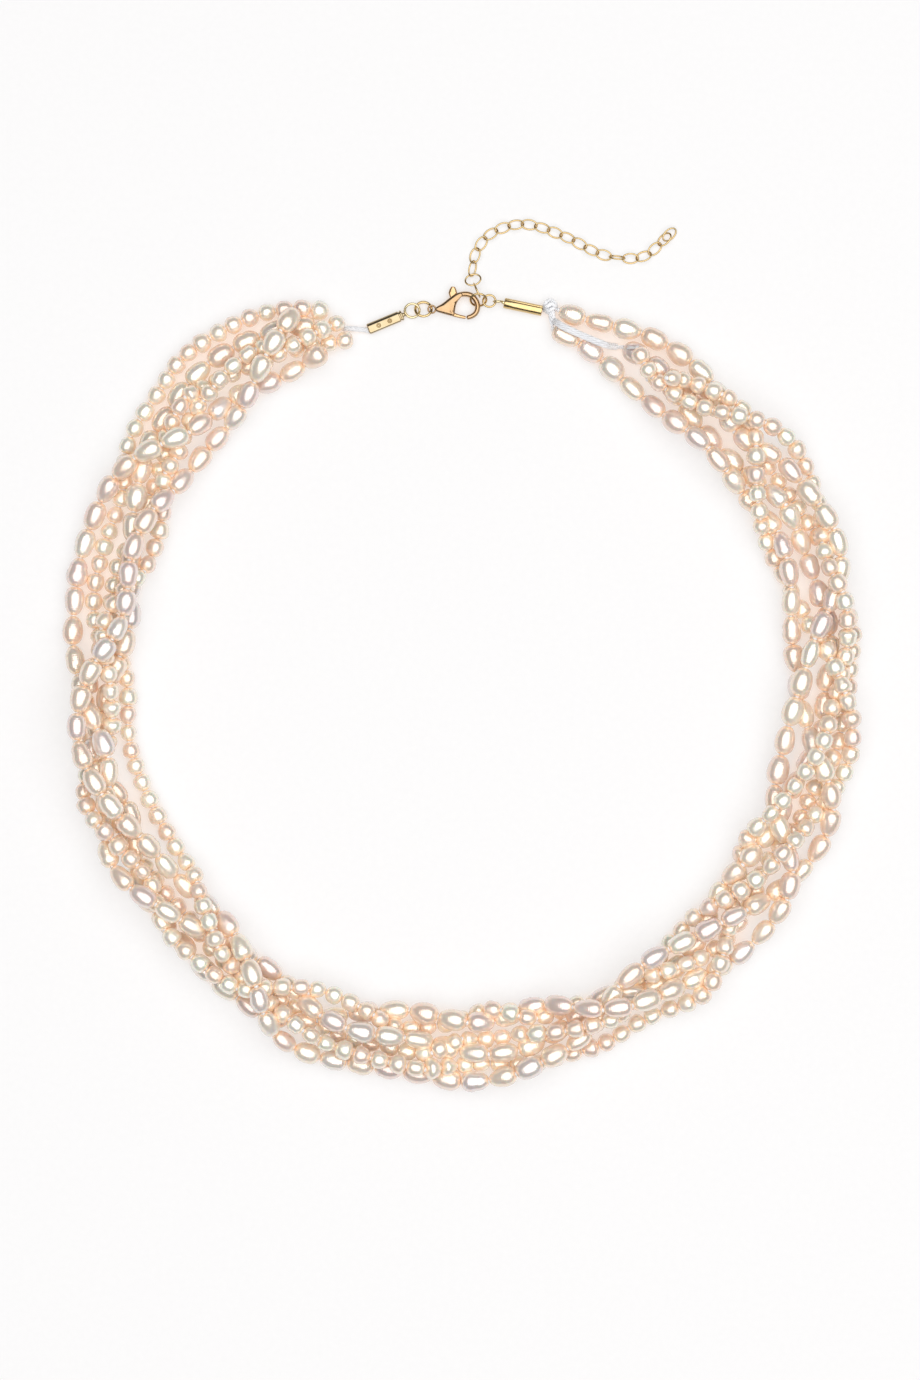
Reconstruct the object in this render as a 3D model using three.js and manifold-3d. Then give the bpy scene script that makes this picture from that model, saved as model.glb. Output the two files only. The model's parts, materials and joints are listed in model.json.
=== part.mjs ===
// Pearl necklace: a torsade of six loosely twisted strands of freshwater pearls, closed by a
// lobster clasp, with an extender chain. It lies flat on z = 0, clasp at +Y, in millimetres.
//
// Plan places are given round the loop's centre: an angle in degrees, clockwise from +Y as seen
// from above, and a radius; or x, y and z from the loop's centre for the metal pieces.
import * as THREE from 'three';
import { mergeVertices } from 'three/addons/utils/BufferGeometryUtils.js';
import Module from 'manifold-3d';

const wasm = await Module();
wasm.setup();

// ---------------------------------------------------------------- driving dimensions

const LOOP_CENTRE = [-0.33, -6.33]; // the loop's centre, seen from the middle of the whole outline

const RICE = { length: [4.7, 5.9], width: [3.7, 4.4], sides: 6 }; // drilled along the long axis
const SMALL = { length: [2.8, 3.7], width: [3.1, 3.8], sides: 5 }; // potato and button pearls
const THREAD_RADIUS = 0.35; // the knotted silk that shows between two pearls

const PILE_STEP = 3.4; // height from one layer of pearls to the next
const PEARL_GAP = 0.04; // clear space between neighbouring strands
const LONG_REACH = 0.2; // a pearl settles as two balls if they lie this far from its middle
const SETTLE_ROUNDS = 500;
const CLEAR_ROUNDS = 420;
const NEIGHBOUR_REACH = 10; // pearls further apart than this can't meet while they settle
// How much of each error one round mends, and how far a pearl sinks in it.
const ROUND_SHARE = { overlap: 0.3, route: 0.04, spacing: 0.25, lateSpacing: 0.05 };
const ROUND_SINK = 0.03;

// The angles at which the torsade is divided into quarters, which turn against each other, and
// the free space on each side of a division.
const FLEX = { left: 272.9, front: 182.4, right: 87.2, clasp: 360 };
const FLEX_CLEARANCE = 1.25;

const LINK = { halfLength: 1.45, halfWidth: 0.94, wire: 0.16 }; // to the middle of the wire
const CHAIN_PITCH = 2.5;
const CHAIN_LINKS = 19; // after the two that join the chain to its ring
const LAST_PITCH = 1.3; // the last link has slid back over the one before it
const CHAIN_ROLL = 25; // links lie tipped to one side and the other in turn
const LINK_LIFT = 0.01; // the links' lowest points clear the table by this much
const STEEP_ROLLS = new Map([[0, 50], [13, -68]]); // but these two stand almost on edge
const FIRST_LINK = { at: [3.3, 74.05, 2.03], heading: 113.5, dip: 22, roll: 90 };
const WIDE_LINK = { at: [2.6, 76.05, 1.23], heading: 14, dip: 0, roll: -20.5, halfWidth: 1.1 };
const CHAIN_ROUTE = [
  [2.5, 78.15],
  [3.2, 81.2],
  [5.9, 84.6],
  [11.9, 86.4],
  [19.4, 84.2],
  [26.2, 80.9],
  [30.3, 80.1],
  [34.4, 80.5],
  [39.4, 84.8],
];

const LEFT_CAP = { end: [-16.84, 66.88], angle: 22.5, length: 6.9, width: 2, height: 1.6 };
const DIMPLE = { radius: 0.32, depth: 0.25, shares: [0.3, 0.62] };
const LEFT_RING = { at: [-8.87, 70.35, 0.98], roll: 25, radius: 1.35, wire: 0.25 };
const JUMP_RING = { at: [-6.6, 70.6, 1.12], roll: -25, radius: 1.5, wire: 0.25 };
const HOOK_RING = { at: [3.6, 72.3, 1.44], roll: 45, radius: 1.47, wire: 0.21 };
const SIDE_RING = { at: [5.62, 72.12, 1.2], roll: -12, radius: 1.15, wire: 0.2 };
const RIGHT_CAP = { end: [15.4, 70.3], angle: -11.8, length: 7.2, radius: 0.98, bore: 0.64 };
const BORE_FLOOR = 0.25; // the thread's bore stops at this share of the right cap's length
const RIGHT_EYE = { x: 7.02, radius: 0.78, wire: 0.2 };
const NECK_RADIUS = { left: 0.36, right: 0.3 }; // between each cap and its ring
const NECK_SINK = { left: 0.3, right: 0.4 }; // how far a neck runs into its cap
const LEFT_NECK = 0.55; // how far it runs past the left cap
const RIGHT_NECK_HEIGHT = 1.1; // where it leaves the right cap's eye

const CLASP_EYE = { at: [-5.03, 70.58, 1.15], hole: 0.52, rim: 0.86, thickness: 0.6 };
const CLASP_THICKNESS = 1.5;
const HOOK_WIRE = 0.42;
const LEVER_SLOT = { width: 3.6, height: 9, thickness: 0.72, middle: [2.75, 0.5] };
const LEVER_THICKNESS = 0.52;
const LEVER_PIVOT = [3.6, -0.35]; // from the middle of the clasp's eye
const PIN_RADIUS = 0.26;
const PIN_CLEARANCE = 0.05;
const PIN_SHORTNESS = 0.1; // the pin ends just inside the clasp's two faces
const THROUGH = 4; // a drill this long passes right through the clasp

const KNOT = {
  at: [16.95, 71.05, 1.3],
  radius: 1.25,
  lead: [[15.72, 70.42, 0.98], [16.6, 70.9, 1.15]],
};
const LEFT_THREAD = [[-20.9, 67.05, 0.8], [-19, 66.95, 0.75], [-17.2, 66.75, 0.78]];
const RIGHT_THREAD = [[16.6, 69.3], [18.6, 67.5], [21, 66.3], [24, 65], [27.2, 63.8], [29.6, 63.7]];
const BUNDLE_RADIUS = { left: 0.55, right: 0.4 }; // several strands' silk side by side
const THREAD_GAP = 0.15; // clear space between the bare silk and the pearls under it
const THREAD_POINTS = 14;

// Each strand's route, as points of [angle, radius, layer]. Layer 0 lies on the table, and a
// higher number rides over what it crosses.
const ROUTES = {
  rice_a: {
    kind: RICE,
    seed: 11,
    points: [
      [14.2, 72.9, 0.3], [21, 72.2, 0.3], [29.7, 73.7, 0.3], [38.5, 71.6, 0], [47, 69.5, 0],
      [56, 71.6, 0.1], [63.5, 74.3, 0.9], [71.4, 74.9, 0.6], [79, 69.3, 0.5], [86, 65.4, 1],
      [95, 62.6, 0.5], [104, 62.3, 0], [112, 64.6, 0], [120.4, 70.5, 1], [126, 72.6, 0.8],
      [133, 70.7, 0.6], [141, 68, 0.2], [148.4, 66.7, 1], [157, 63, 1], [162, 62.2, 0.6],
      [168, 63.8, 0], [175, 63.6, 0.1], [179.5, 64.2, 0.9], [188.5, 61.3, 0.5], [197, 64, 0],
      [206, 67.4, 0], [215, 67.8, 0], [224, 67.4, 0], [230, 66.6, 0], [236, 68.4, 0],
      [244, 67.6, 0], [254, 68.4, 0], [260, 69.8, 0], [268, 67, 0], [276, 65, 0],
      [288, 65, 0], [297, 66.4, 0], [308, 71.4, 0], [318, 74, 0], [330, 75, 0], [340, 73, 0],
    ],
  },
  rice_b: {
    kind: RICE,
    seed: 23,
    points: [
      [14.3, 68.9, 0.6], [25.5, 67.2, 0.7], [34.4, 65, 0.1], [43.5, 65.2, 0.4], [52.6, 66.3, 0.4],
      [57.2, 67.4, 0], [64, 68.2, 0.4], [71.3, 66, 1], [80.2, 63, 0.5], [89, 62.8, 0],
      [98.5, 66, 0], [105.7, 72.3, 0.9], [112.8, 73.9, 0.6], [119.8, 71.8, 0], [127.8, 68.2, 0.6],
      [135, 63.9, 1], [142, 61.4, 0.6], [149, 62.5, 0.3], [157.8, 67.1, 0], [165, 68.4, 0.1],
      [174.2, 71.2, 0.9], [178.8, 70.6, 0.6], [187, 69, 0], [195.4, 70.8, 0], [204.8, 74.3, 0.6],
      [210.9, 72.3, 0.6], [217, 65, 0.8], [225, 60.8, 0.4], [234, 62, 0], [242.7, 64.6, 0.6],
      [251.3, 67.8, 1], [259.8, 71, 1.3], [266, 71.3, 1.2], [273.3, 68, 0.7], [281, 62.8, 0.5],
      [287, 63.2, 0.7], [297, 67.7, 0.8], [306.8, 66, 0.5], [319, 65.4, 0.3], [326.9, 69, 1],
      [333, 74.3, 1.2], [340, 74.5, 0.8],
    ],
  },
  rice_c: {
    kind: RICE,
    seed: 37,
    points: [
      [24.5, 70.5, 0.6], [30, 70.4, 0.3], [40, 67.8, 0], [51, 68.5, 0], [61, 70.3, 0],
      [70.5, 71.4, 0], [80, 70.4, 0], [90, 69.3, 0], [97, 70, 0], [108, 66, 0], [118, 63.6, 0],
      [126, 63.6, 0], [138, 67.4, 0], [147, 64.6, 0], [157, 64.8, 0], [167, 66.4, 0],
      [175.5, 65.8, 0.5], [182, 66.3, 0], [189.4, 65.2, 0.5], [195, 66.1, 0.8], [203, 65.6, 0.5],
      [212.5, 63.6, 0], [222, 65, 0], [231.7, 67.3, 0.4], [239.4, 71.1, 1], [245, 71.4, 0.6],
      [252.8, 68.3, 0.2], [258, 67.4, 0.6], [266, 69.4, 0.6], [276, 71.2, 0.3], [285.7, 73.8, 0.3],
      [294, 75.2, 0.4], [302.3, 74.9, 0.6], [311.7, 71.7, 1], [320, 69.8, 0.7], [325.6, 70, 0.2],
      [332, 67.5, 0.3], [339, 68.7, 0.5],
    ],
  },
  small_a: {
    kind: SMALL,
    seed: 41,
    points: [
      [31.8, 66.9, 0.5], [37.3, 71, 1], [41.5, 73.3, 0.6], [46.9, 74.2, 0.4], [49.9, 71.1, 0.4],
      [54.6, 67.8, 1], [60, 65.6, 0.8], [66, 63.9, 0.4], [72, 63.5, 0], [78, 67.3, 0],
      [83, 69.7, 0.1], [87, 68.8, 0.5], [93.7, 72.3, 0.4], [98, 73, 0.4], [104, 70.8, 0.2],
      [109, 69, 0.5], [116.3, 66.7, 0.8], [122.3, 64.3, 1], [129, 62.3, 0.6], [135, 60.9, 0],
      [142, 62.8, 0], [148, 65.6, 0], [154.2, 66.4, 0.5], [159.6, 64.9, 0.7], [165, 66.2, 1],
      [171, 65.3, 0.8], [177, 67, 0.2], [186, 67.5, 1], [193, 67.7, 0.3], [201, 67.8, 0.1],
      [209, 66, 0], [218, 66.8, 0], [228.5, 65.8, 0.4], [236, 68.2, 0], [245, 67.8, 0],
      [257, 69.2, 0], [267, 68, 0], [277, 66, 0], [290, 65.9, 0], [299, 65.4, 0.2],
      [307, 70.8, 0], [317, 74.4, 0.3], [326, 73.4, 0], [335.6, 71.6, 0.8], [343.6, 70.4, 0.6],
    ],
  },
  small_b: {
    kind: SMALL,
    seed: 53,
    points: [
      [26.8, 70.9, 0.8], [31, 69.8, 0.5], [36, 67.7, 0.2], [41.9, 68.9, 0.5], [49.3, 73.7, 1],
      [53.1, 76.5, 0.4], [58, 76.7, 0.3], [62.5, 74.8, 0], [67, 71.8, 0.2], [73, 72.5, 0.9],
      [80.4, 73, 0.5], [87, 71.3, 0.2], [93, 69, 0.3], [100, 66.4, 1], [106, 64.5, 1],
      [114, 63.4, 0.4], [121, 62.3, 0.1], [127.5, 64.5, 0], [134, 68.2, 0.5], [139.2, 71.2, 0.6],
      [143, 71.2, 0.6], [149, 68.6, 0.3], [155.4, 70.3, 0.3], [163, 70.2, 0.3], [171, 69.4, 0],
      [176.3, 68, 0.2], [184, 68.8, 0.8], [194, 70.5, 0.7], [200, 70, 0.7], [208, 68.3, 0.3],
      [216, 67.3, 0], [222, 66, 0.6], [229, 62.8, 1], [240, 60.2, 0.3], [250, 61.1, 0.2],
      [262, 62.2, 0.2], [274, 63.7, 0], [282, 68.2, 0.1], [290, 70.6, 0.4], [301, 72, 0.4],
      [306.3, 74, 0], [313, 75.8, 0.4], [319, 78.2, 0.3], [329, 78.3, 0.3], [334, 75.5, 0],
      [341, 72.8, 0],
    ],
  },
  small_c: {
    kind: SMALL,
    seed: 67,
    points: [
      [29.5, 68.6, 0], [35, 70.8, 0], [40, 70.3, 0], [47, 71.8, 0], [55, 70.4, 0], [64, 70.6, 0],
      [72, 72.8, 0], [80, 71.6, 0], [90, 70.7, 0], [98, 70.6, 0], [108, 67.2, 0], [118, 64, 0],
      [126, 65, 0], [134, 67.8, 0], [141.3, 67, 0.6], [148, 64.2, 0], [158, 64.4, 0],
      [166, 63.4, 0.3], [170.5, 63.5, 0.9], [176, 61.8, 0.4], [182.5, 63.5, 0], [188, 64, 0.1],
      [195, 63, 0.6], [201.7, 61.3, 0.4], [208, 63.9, 0.7], [214.8, 67.6, 0.9], [222, 69.2, 0.6],
      [229, 69.7, 0.3], [235, 68.2, 0], [240.3, 67.7, 0.6], [246, 69.6, 1], [252, 71.6, 0.5],
      [258, 69.5, 0], [263, 65.7, 0.5], [269, 64.6, 0.7], [278, 66.3, 0.6], [285.5, 66.1, 0.5],
      [292.3, 63.2, 0.2], [299, 63.6, 0.3], [305.5, 68.8, 0.4], [311.6, 71.4, 0],
      [319.4, 73.7, 0.6], [327.4, 73.8, 0.5], [333, 71.5, 0.3], [343.4, 69, 0.2],
    ],
  },
};

// ---------------------------------------------------------------- small helpers

const DEGREE = Math.PI / 180;
const UP = new THREE.Vector3(0, 0, 1);

// A repeatable source of random numbers from 0 to 1.
function randomSource(seed) {
  let state = seed * 7919;
  return () => {
    state = (state * 16807) % 2147483647;
    return state / 2147483647;
  };
}

function between([low, high], share) {
  return low + (high - low) * share;
}

function polar(angle, radius, z = 0) {
  return new THREE.Vector3(
    radius * Math.sin(angle * DEGREE),
    radius * Math.cos(angle * DEGREE),
    z,
  );
}

// The radius (column 1) or layer (column 2) of a route at an angle, on a smooth curve.
function routeValue(points, angle, column) {
  let k = 0;
  while (k < points.length - 2 && points[k + 1][0] < angle) k += 1;
  const slope = (i) => {
    const before = points[Math.max(i - 1, 0)];
    const after = points[Math.min(i + 1, points.length - 1)];
    return (after[column] - before[column]) / (after[0] - before[0]);
  };
  const span = points[k + 1][0] - points[k][0];
  const t = (angle - points[k][0]) / span;
  return (
    (2 * t ** 3 - 3 * t ** 2 + 1) * points[k][column] +
    (t ** 3 - 2 * t ** 2 + t) * span * slope(k) +
    (3 * t ** 2 - 2 * t ** 3) * points[k + 1][column] +
    (t ** 3 - t ** 2) * span * slope(k + 1)
  );
}

// ---------------------------------------------------------------- stringing and settling

// Strings one strand: pearls of mixed sizes, end to end along the route.
function stringStrand({ kind, seed, points }) {
  const random = randomSource(seed);
  const pearls = [];
  const last = points[points.length - 1][0];
  let angle = points[0][0];
  let before = 0;
  while (true) {
    const length = between(kind.length, (random() + random()) / 2);
    const width = between(kind.width, (random() + random()) / 2);
    const steps = 8;
    for (let i = 0; i < steps; i += 1) {
      const radius = routeValue(points, angle, 1);
      const lean = (routeValue(points, angle + 0.1, 1) - radius) / (0.1 * DEGREE);
      angle += (before + length) / 2 / steps / Math.hypot(radius, lean) / DEGREE;
    }
    if (angle > last) break;
    const place = polar(angle, routeValue(points, angle, 1));
    place.z = width / 2 + Math.max(0, routeValue(points, angle, 2)) * PILE_STEP;
    pearls.push({ length, width, aim: place.clone(), place });
    before = length;
  }
  return pearls;
}

function findTangents(strands) {
  for (const pearls of strands) {
    pearls.forEach((pearl, i) => {
      const before = pearls[Math.max(i - 1, 0)].place;
      const after = pearls[Math.min(i + 1, pearls.length - 1)].place;
      pearl.tangent = after.clone().sub(before).normalize();
    });
  }
}

// Every pearl is one or two balls, which is how the strands feel each other.
function listBalls(strands) {
  const balls = [];
  strands.forEach((pearls, strand) => {
    for (const pearl of pearls) {
      const reach = Math.max(0, (pearl.length - pearl.width) / 2);
      const offsets = reach > LONG_REACH ? [-reach, reach] : [0];
      for (const offset of offsets) balls.push({ pearl, strand, offset, radius: pearl.width / 2 });
    }
  });
  return balls;
}

function ballPlace(ball) {
  return ball.pearl.place.clone().addScaledVector(ball.pearl.tangent, ball.offset);
}

function nearPairs(balls, reach) {
  const places = balls.map(ballPlace);
  const pairs = [];
  for (let i = 0; i < balls.length; i += 1) {
    for (let j = i + 1; j < balls.length; j += 1) {
      if (balls[i].strand === balls[j].strand) continue;
      if (places[i].distanceTo(places[j]) < reach) pairs.push([balls[i], balls[j]]);
    }
  }
  return pairs;
}

// Lets the strands sink onto the table and onto each other until none cuts another.
function settle(strands) {
  findTangents(strands);
  const balls = listBalls(strands);
  const pairs = nearPairs(balls, NEIGHBOUR_REACH);
  const apart = new THREE.Vector3();
  for (let round = 0; round < SETTLE_ROUNDS + CLEAR_ROUNDS; round += 1) {
    const settling = round < SETTLE_ROUNDS;
    findTangents(strands);
    for (const pearls of strands) for (const pearl of pearls) pearl.push = new THREE.Vector3();
    for (const [one, other] of pairs) {
      apart.copy(ballPlace(one)).sub(ballPlace(other));
      const lack = one.radius + other.radius + PEARL_GAP - apart.length();
      if (lack <= 0) continue;
      apart.setLength(lack * ROUND_SHARE.overlap);
      one.pearl.push.add(apart);
      other.pearl.push.sub(apart);
    }
    for (const pearls of strands) {
      for (let i = 1; i < pearls.length; i += 1) {
        apart.copy(pearls[i].place).sub(pearls[i - 1].place);
        const stretch = apart.length() - (pearls[i].length + pearls[i - 1].length) / 2;
        apart.setLength(stretch * (settling ? ROUND_SHARE.spacing : ROUND_SHARE.lateSpacing));
        pearls[i - 1].push.add(apart);
        pearls[i].push.sub(apart);
      }
      for (const pearl of pearls) {
        if (settling) {
          pearl.push.x += (pearl.aim.x - pearl.place.x) * ROUND_SHARE.route;
          pearl.push.y += (pearl.aim.y - pearl.place.y) * ROUND_SHARE.route;
          pearl.push.z -= ROUND_SINK;
        }
        pearl.place.add(pearl.push);
        pearl.place.z = Math.max(pearl.place.z, pearl.width / 2);
      }
    }
  }
  findTangents(strands);
}

// ---------------------------------------------------------------- solids

function toManifold(geometry) {
  const bare = geometry.clone();
  bare.deleteAttribute('normal');
  bare.deleteAttribute('uv');
  const merged = mergeVertices(bare, 1e-4);
  return new wasm.Manifold(
    new wasm.Mesh({
      numProp: 3,
      vertProperties: new Float32Array(merged.attributes.position.array),
      triVerts: new Uint32Array(merged.index.array),
    }),
  );
}

function toGeometry(solid) {
  const mesh = solid.getMesh();
  const geometry = new THREE.BufferGeometry();
  const corners = new THREE.BufferAttribute(new Float32Array(mesh.vertProperties), 3);
  geometry.setAttribute('position', corners);
  geometry.setIndex(new THREE.BufferAttribute(new Uint32Array(mesh.triVerts), 1));
  geometry.computeVertexNormals();
  return geometry;
}

function shapeOf(outline) {
  return new THREE.Shape(outline.map(([x, y]) => new THREE.Vector2(x, y)));
}

function slab(outline, thickness) {
  const geometry = new THREE.ExtrudeGeometry(shapeOf(outline), {
    depth: thickness,
    bevelEnabled: false,
    curveSegments: 8,
  });
  return geometry.translate(0, 0, -thickness / 2);
}

function polygon(radius, sides) {
  const corners = [];
  for (let i = 0; i < sides; i += 1) {
    const turn = (2 * Math.PI * i) / sides;
    corners.push([radius * Math.cos(turn), radius * Math.sin(turn)]);
  }
  return corners;
}

// A round bar along a smooth curve through the given points.
function tubeAlong(points, radius, sides, steps) {
  const path = new THREE.CatmullRomCurve3(points.map((p) => new THREE.Vector3(...p)));
  return new THREE.ExtrudeGeometry(shapeOf(polygon(radius, sides)), {
    extrudePath: path,
    steps,
  });
}

// An oval ring of round wire in the XY plane; the half sizes are to the middle of the wire.
function ringGeometry({ halfLength, halfWidth, wire }, segments = 12) {
  const geometry = new THREE.TorusGeometry(1, wire, 5, segments);
  const corners = geometry.attributes.position;
  for (let i = 0; i < corners.count; i += 1) {
    const turn = Math.atan2(corners.getY(i), corners.getX(i));
    corners.setX(i, corners.getX(i) + (halfLength - 1) * Math.cos(turn));
    corners.setY(i, corners.getY(i) + (halfWidth - 1) * Math.sin(turn));
  }
  return geometry;
}

// Turns a piece about its own long axis, then tips its nose down, then heads it in the plan.
function pose(object, [x, y, z], heading = 0, dip = 0, roll = 0) {
  object.position.set(x, y, z);
  object.rotation.set(roll * DEGREE, dip * DEGREE, heading * DEGREE, 'ZYX');
  return object;
}

// ---------------------------------------------------------------- pearls

// One closed surface for a whole strand: each pearl swells between two knots of the thread.
function stringGeometry(pearls, sides) {
  const stations = [];
  const addStation = (place, tangent, radius) => {
    place.z = Math.max(place.z, radius);
    stations.push({ place, tangent, radius });
  };
  pearls.forEach((pearl, i) => {
    const before = pearls[i - 1];
    const start = before
      ? pearl.place.clone().add(before.place).multiplyScalar(0.5)
      : pearl.place.clone().addScaledVector(pearl.tangent, -pearl.length / 2);
    const direction = before
      ? pearl.place.clone().sub(before.place).normalize()
      : pearl.tangent;
    addStation(start, direction, THREAD_RADIUS);
    addStation(pearl.place, pearl.tangent, pearl.width / 2);
  });
  const last = pearls[pearls.length - 1];
  const end = last.place.clone().addScaledVector(last.tangent, last.length / 2);
  addStation(end, last.tangent, THREAD_RADIUS);

  const corners = [];
  for (const { place, tangent, radius } of stations) {
    const side = tangent.clone().cross(UP).normalize();
    const top = side.clone().cross(tangent);
    for (const [u, v] of polygon(radius, sides)) {
      corners.push(place.clone().addScaledVector(side, u).addScaledVector(top, v));
    }
  }
  const faces = [];
  for (let s = 0; s < stations.length - 1; s += 1) {
    for (let i = 0; i < sides; i += 1) {
      const a = s * sides + i;
      const b = s * sides + ((i + 1) % sides);
      faces.push(a, b + sides, b, a, a + sides, b + sides);
    }
  }
  const lastRing = (stations.length - 1) * sides;
  for (let i = 1; i < sides - 1; i += 1) {
    faces.push(0, i, i + 1);
    faces.push(lastRing, lastRing + i + 1, lastRing + i);
  }
  const geometry = new THREE.BufferGeometry().setFromPoints(corners);
  geometry.setIndex(faces);
  return geometry;
}

// Cuts the stretch between two divisions out of a whole strand.
function quarterOf(strand, from, to) {
  const across = (angle) => [Math.cos(angle * DEGREE), -Math.sin(angle * DEGREE), 0];
  const start = strand.trimByPlane(across(from), FLEX_CLEARANCE);
  const both = start.trimByPlane(across(to + 180), FLEX_CLEARANCE);
  const pieces = both.decompose();
  return pieces.reduce((best, piece) => (piece.volume() > best.volume() ? piece : best));
}

// The height of the pearls' upper side under a thread of the given radius.
function restHeight(pearls, x, y, radius) {
  let height = radius + THREAD_GAP;
  for (const { place, width } of pearls) {
    const reach = (width / 2 + radius + THREAD_GAP) ** 2 - (place.x - x) ** 2 - (place.y - y) ** 2;
    if (reach > 0) height = Math.max(height, place.z + Math.sqrt(reach));
  }
  return height;
}

// ---------------------------------------------------------------- the clasp

// The clasp's own plan: x runs from its eye to its hook, and y to its thumb lever's side.
const HEART = [
  [0.5, 0.25], [2, 1.07], [3.3, 2.1], [4.46, 2.87], [5.5, 3.1], [5.6, 2.35],
  [4.95, 1.75], [4.45, 0.7], [4.25, -0.45], [4.1, -1.25], [2.4, -0.85], [0.5, -0.25],
];
const HOOK = [
  [4.9, 2.45], [5.7, 2.78], [6.6, 2.8], [7.6, 2.35], [8.3, 1.5], [8.5, 0.5],
  [8.2, -0.5], [7.4, -1.2], [6.45, -1.5],
];
const LEVER = [
  [3.3, -0.9], [4.3, -1.25], [6.2, -1.8], [6.05, -1.22], [4.55, -0.62], [4.1, 0.1],
  [4.2, 2.6], [4.45, 3.3], [4.4, 4.05], [3.9, 4.25], [3.45, 4.0], [3.35, 3.3], [3.3, 0.2],
];
const SPRING = { from: [1.2, 0.3], to: [3.12, 0.8], radius: 0.26 };

function pinRod(radius, length) {
  return new THREE.CylinderGeometry(radius, radius, length, 12)
    .rotateX(Math.PI / 2)
    .translate(...LEVER_PIVOT, 0);
}

function claspBody() {
  const heart = toManifold(slab(HEART, CLASP_THICKNESS));
  const hook = toManifold(tubeAlong(HOOK.map(([x, y]) => [x, y, 0]), HOOK_WIRE, 8, 16));
  const { rim, hole, thickness } = CLASP_EYE;
  const eye = toManifold(new THREE.CylinderGeometry(rim, rim, thickness, 16));
  const eyeHole = toManifold(new THREE.CylinderGeometry(hole, hole, THROUGH, 16));
  const { width, height, thickness: gap, middle } = LEVER_SLOT;
  const slot = new THREE.BoxGeometry(width, height, gap).translate(...middle, 0);
  const bore = pinRod(PIN_RADIUS + PIN_CLEARANCE, THROUGH);
  const whole = heart.add(hook).add(eye).subtract(eyeHole);
  return toGeometry(whole.subtract(toManifold(slot)).subtract(toManifold(bore)));
}

function claspLever() {
  const plate = toManifold(slab(LEVER, LEVER_THICKNESS));
  return toGeometry(plate.subtract(toManifold(pinRod(PIN_RADIUS + PIN_CLEARANCE, THROUGH))));
}

function claspSpring() {
  const ends = [SPRING.from, SPRING.to].map(([x, y]) => [x, y, 0]);
  return tubeAlong(ends, SPRING.radius, 8, 1);
}

// ---------------------------------------------------------------- end caps and threads

function leftCap() {
  const { end, angle, length, width, height } = LEFT_CAP;
  const box = new THREE.BoxGeometry(length, width, height)
    .translate(length / 2, 0, height / 2)
    .rotateZ(angle * DEGREE)
    .translate(end[0], end[1], 0);
  const { at, roll, radius, wire } = LEFT_RING;
  const ring = ringGeometry({ halfLength: radius, halfWidth: radius, wire })
    .rotateX(roll * DEGREE)
    .translate(...at);
  const reach = (distance) => [
    end[0] + distance * Math.cos(angle * DEGREE),
    end[1] + distance * Math.sin(angle * DEGREE),
    height / 2,
  ];
  const neckRoute = [reach(length - NECK_SINK.left), reach(length + LEFT_NECK)];
  const neck = tubeAlong(neckRoute, NECK_RADIUS.left, 8, 1);
  let solid = toManifold(box).add(toManifold(ring)).add(toManifold(neck));
  for (const share of DIMPLE.shares) {
    const [x, y] = reach(length * share);
    const dimple = new THREE.CylinderGeometry(DIMPLE.radius, DIMPLE.radius, 2 * DIMPLE.depth, 10)
      .rotateX(Math.PI / 2)
      .translate(x, y, height);
    solid = solid.subtract(toManifold(dimple));
  }
  return toGeometry(solid);
}

function rightCap() {
  const { end, angle, length, radius, bore } = RIGHT_CAP;
  const profile = [
    [0, 0],
    [radius, 0],
    [radius, length],
    [bore, length],
    [bore, length * BORE_FLOOR],
    [0, length * BORE_FLOOR],
  ].map(([r, along]) => new THREE.Vector2(r, along));
  const slope = Math.tan(angle * DEGREE);
  const start = end[0] - length * Math.cos(angle * DEGREE);
  const onAxis = (x, z) => [x, end[1] + (x - end[0]) * slope, z];
  const tube = new THREE.LatheGeometry(profile, 12)
    .rotateZ((angle - 90) * DEGREE)
    .translate(...onAxis(start, radius));
  const ring = { halfLength: RIGHT_EYE.radius, halfWidth: RIGHT_EYE.radius, wire: RIGHT_EYE.wire };
  const eye = ringGeometry(ring)
    .rotateX(90 * DEGREE)
    .translate(...onAxis(RIGHT_EYE.x, SIDE_RING.at[2]));
  const neckRoute = [
    onAxis(RIGHT_EYE.x + RIGHT_EYE.radius, RIGHT_NECK_HEIGHT),
    onAxis(start + NECK_SINK.right, radius),
  ];
  const neck = tubeAlong(neckRoute, NECK_RADIUS.right, 8, 1);
  return toGeometry(toManifold(tube).add(toManifold(eye)).add(toManifold(neck)));
}

function threadKnot() {
  const knot = new THREE.SphereGeometry(KNOT.radius, 10, 7).translate(...KNOT.at);
  const lead = tubeAlong(KNOT.lead, THREAD_RADIUS, 8, 1);
  return toGeometry(toManifold(knot).add(toManifold(lead)));
}

// The bare silk of the four strands whose pearls begin later, laid over the first pearls.
function rightThread(pearls) {
  const plan = new THREE.CatmullRomCurve3(RIGHT_THREAD.map(([x, y]) => new THREE.Vector3(x, y)));
  const places = plan.getSpacedPoints(THREAD_POINTS);
  const heights = places.map(({ x, y }) => restHeight(pearls, x, y, BUNDLE_RADIUS.right));
  const points = places.map(({ x, y }, i) => {
    const around = heights.slice(Math.max(i - 1, 0), i + 2);
    return [x, y, i === 0 ? heights[0] : Math.max(...around)];
  });
  return tubeAlong(points, BUNDLE_RADIUS.right, 8, 2 * THREAD_POINTS);
}

// ---------------------------------------------------------------- assembly

const PEARL = new THREE.MeshStandardMaterial({ color: '#ecd9c6', roughness: 0.25 });
const YELLOW_GOLD = new THREE.MeshStandardMaterial({
  color: '#e0b84e', roughness: 0.25, metalness: 1,
});
const ROSE_GOLD = new THREE.MeshStandardMaterial({
  color: '#dfa768', roughness: 0.22, metalness: 1,
});
const SILK = new THREE.MeshStandardMaterial({ color: '#e9eaf2', roughness: 0.5 });

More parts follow.
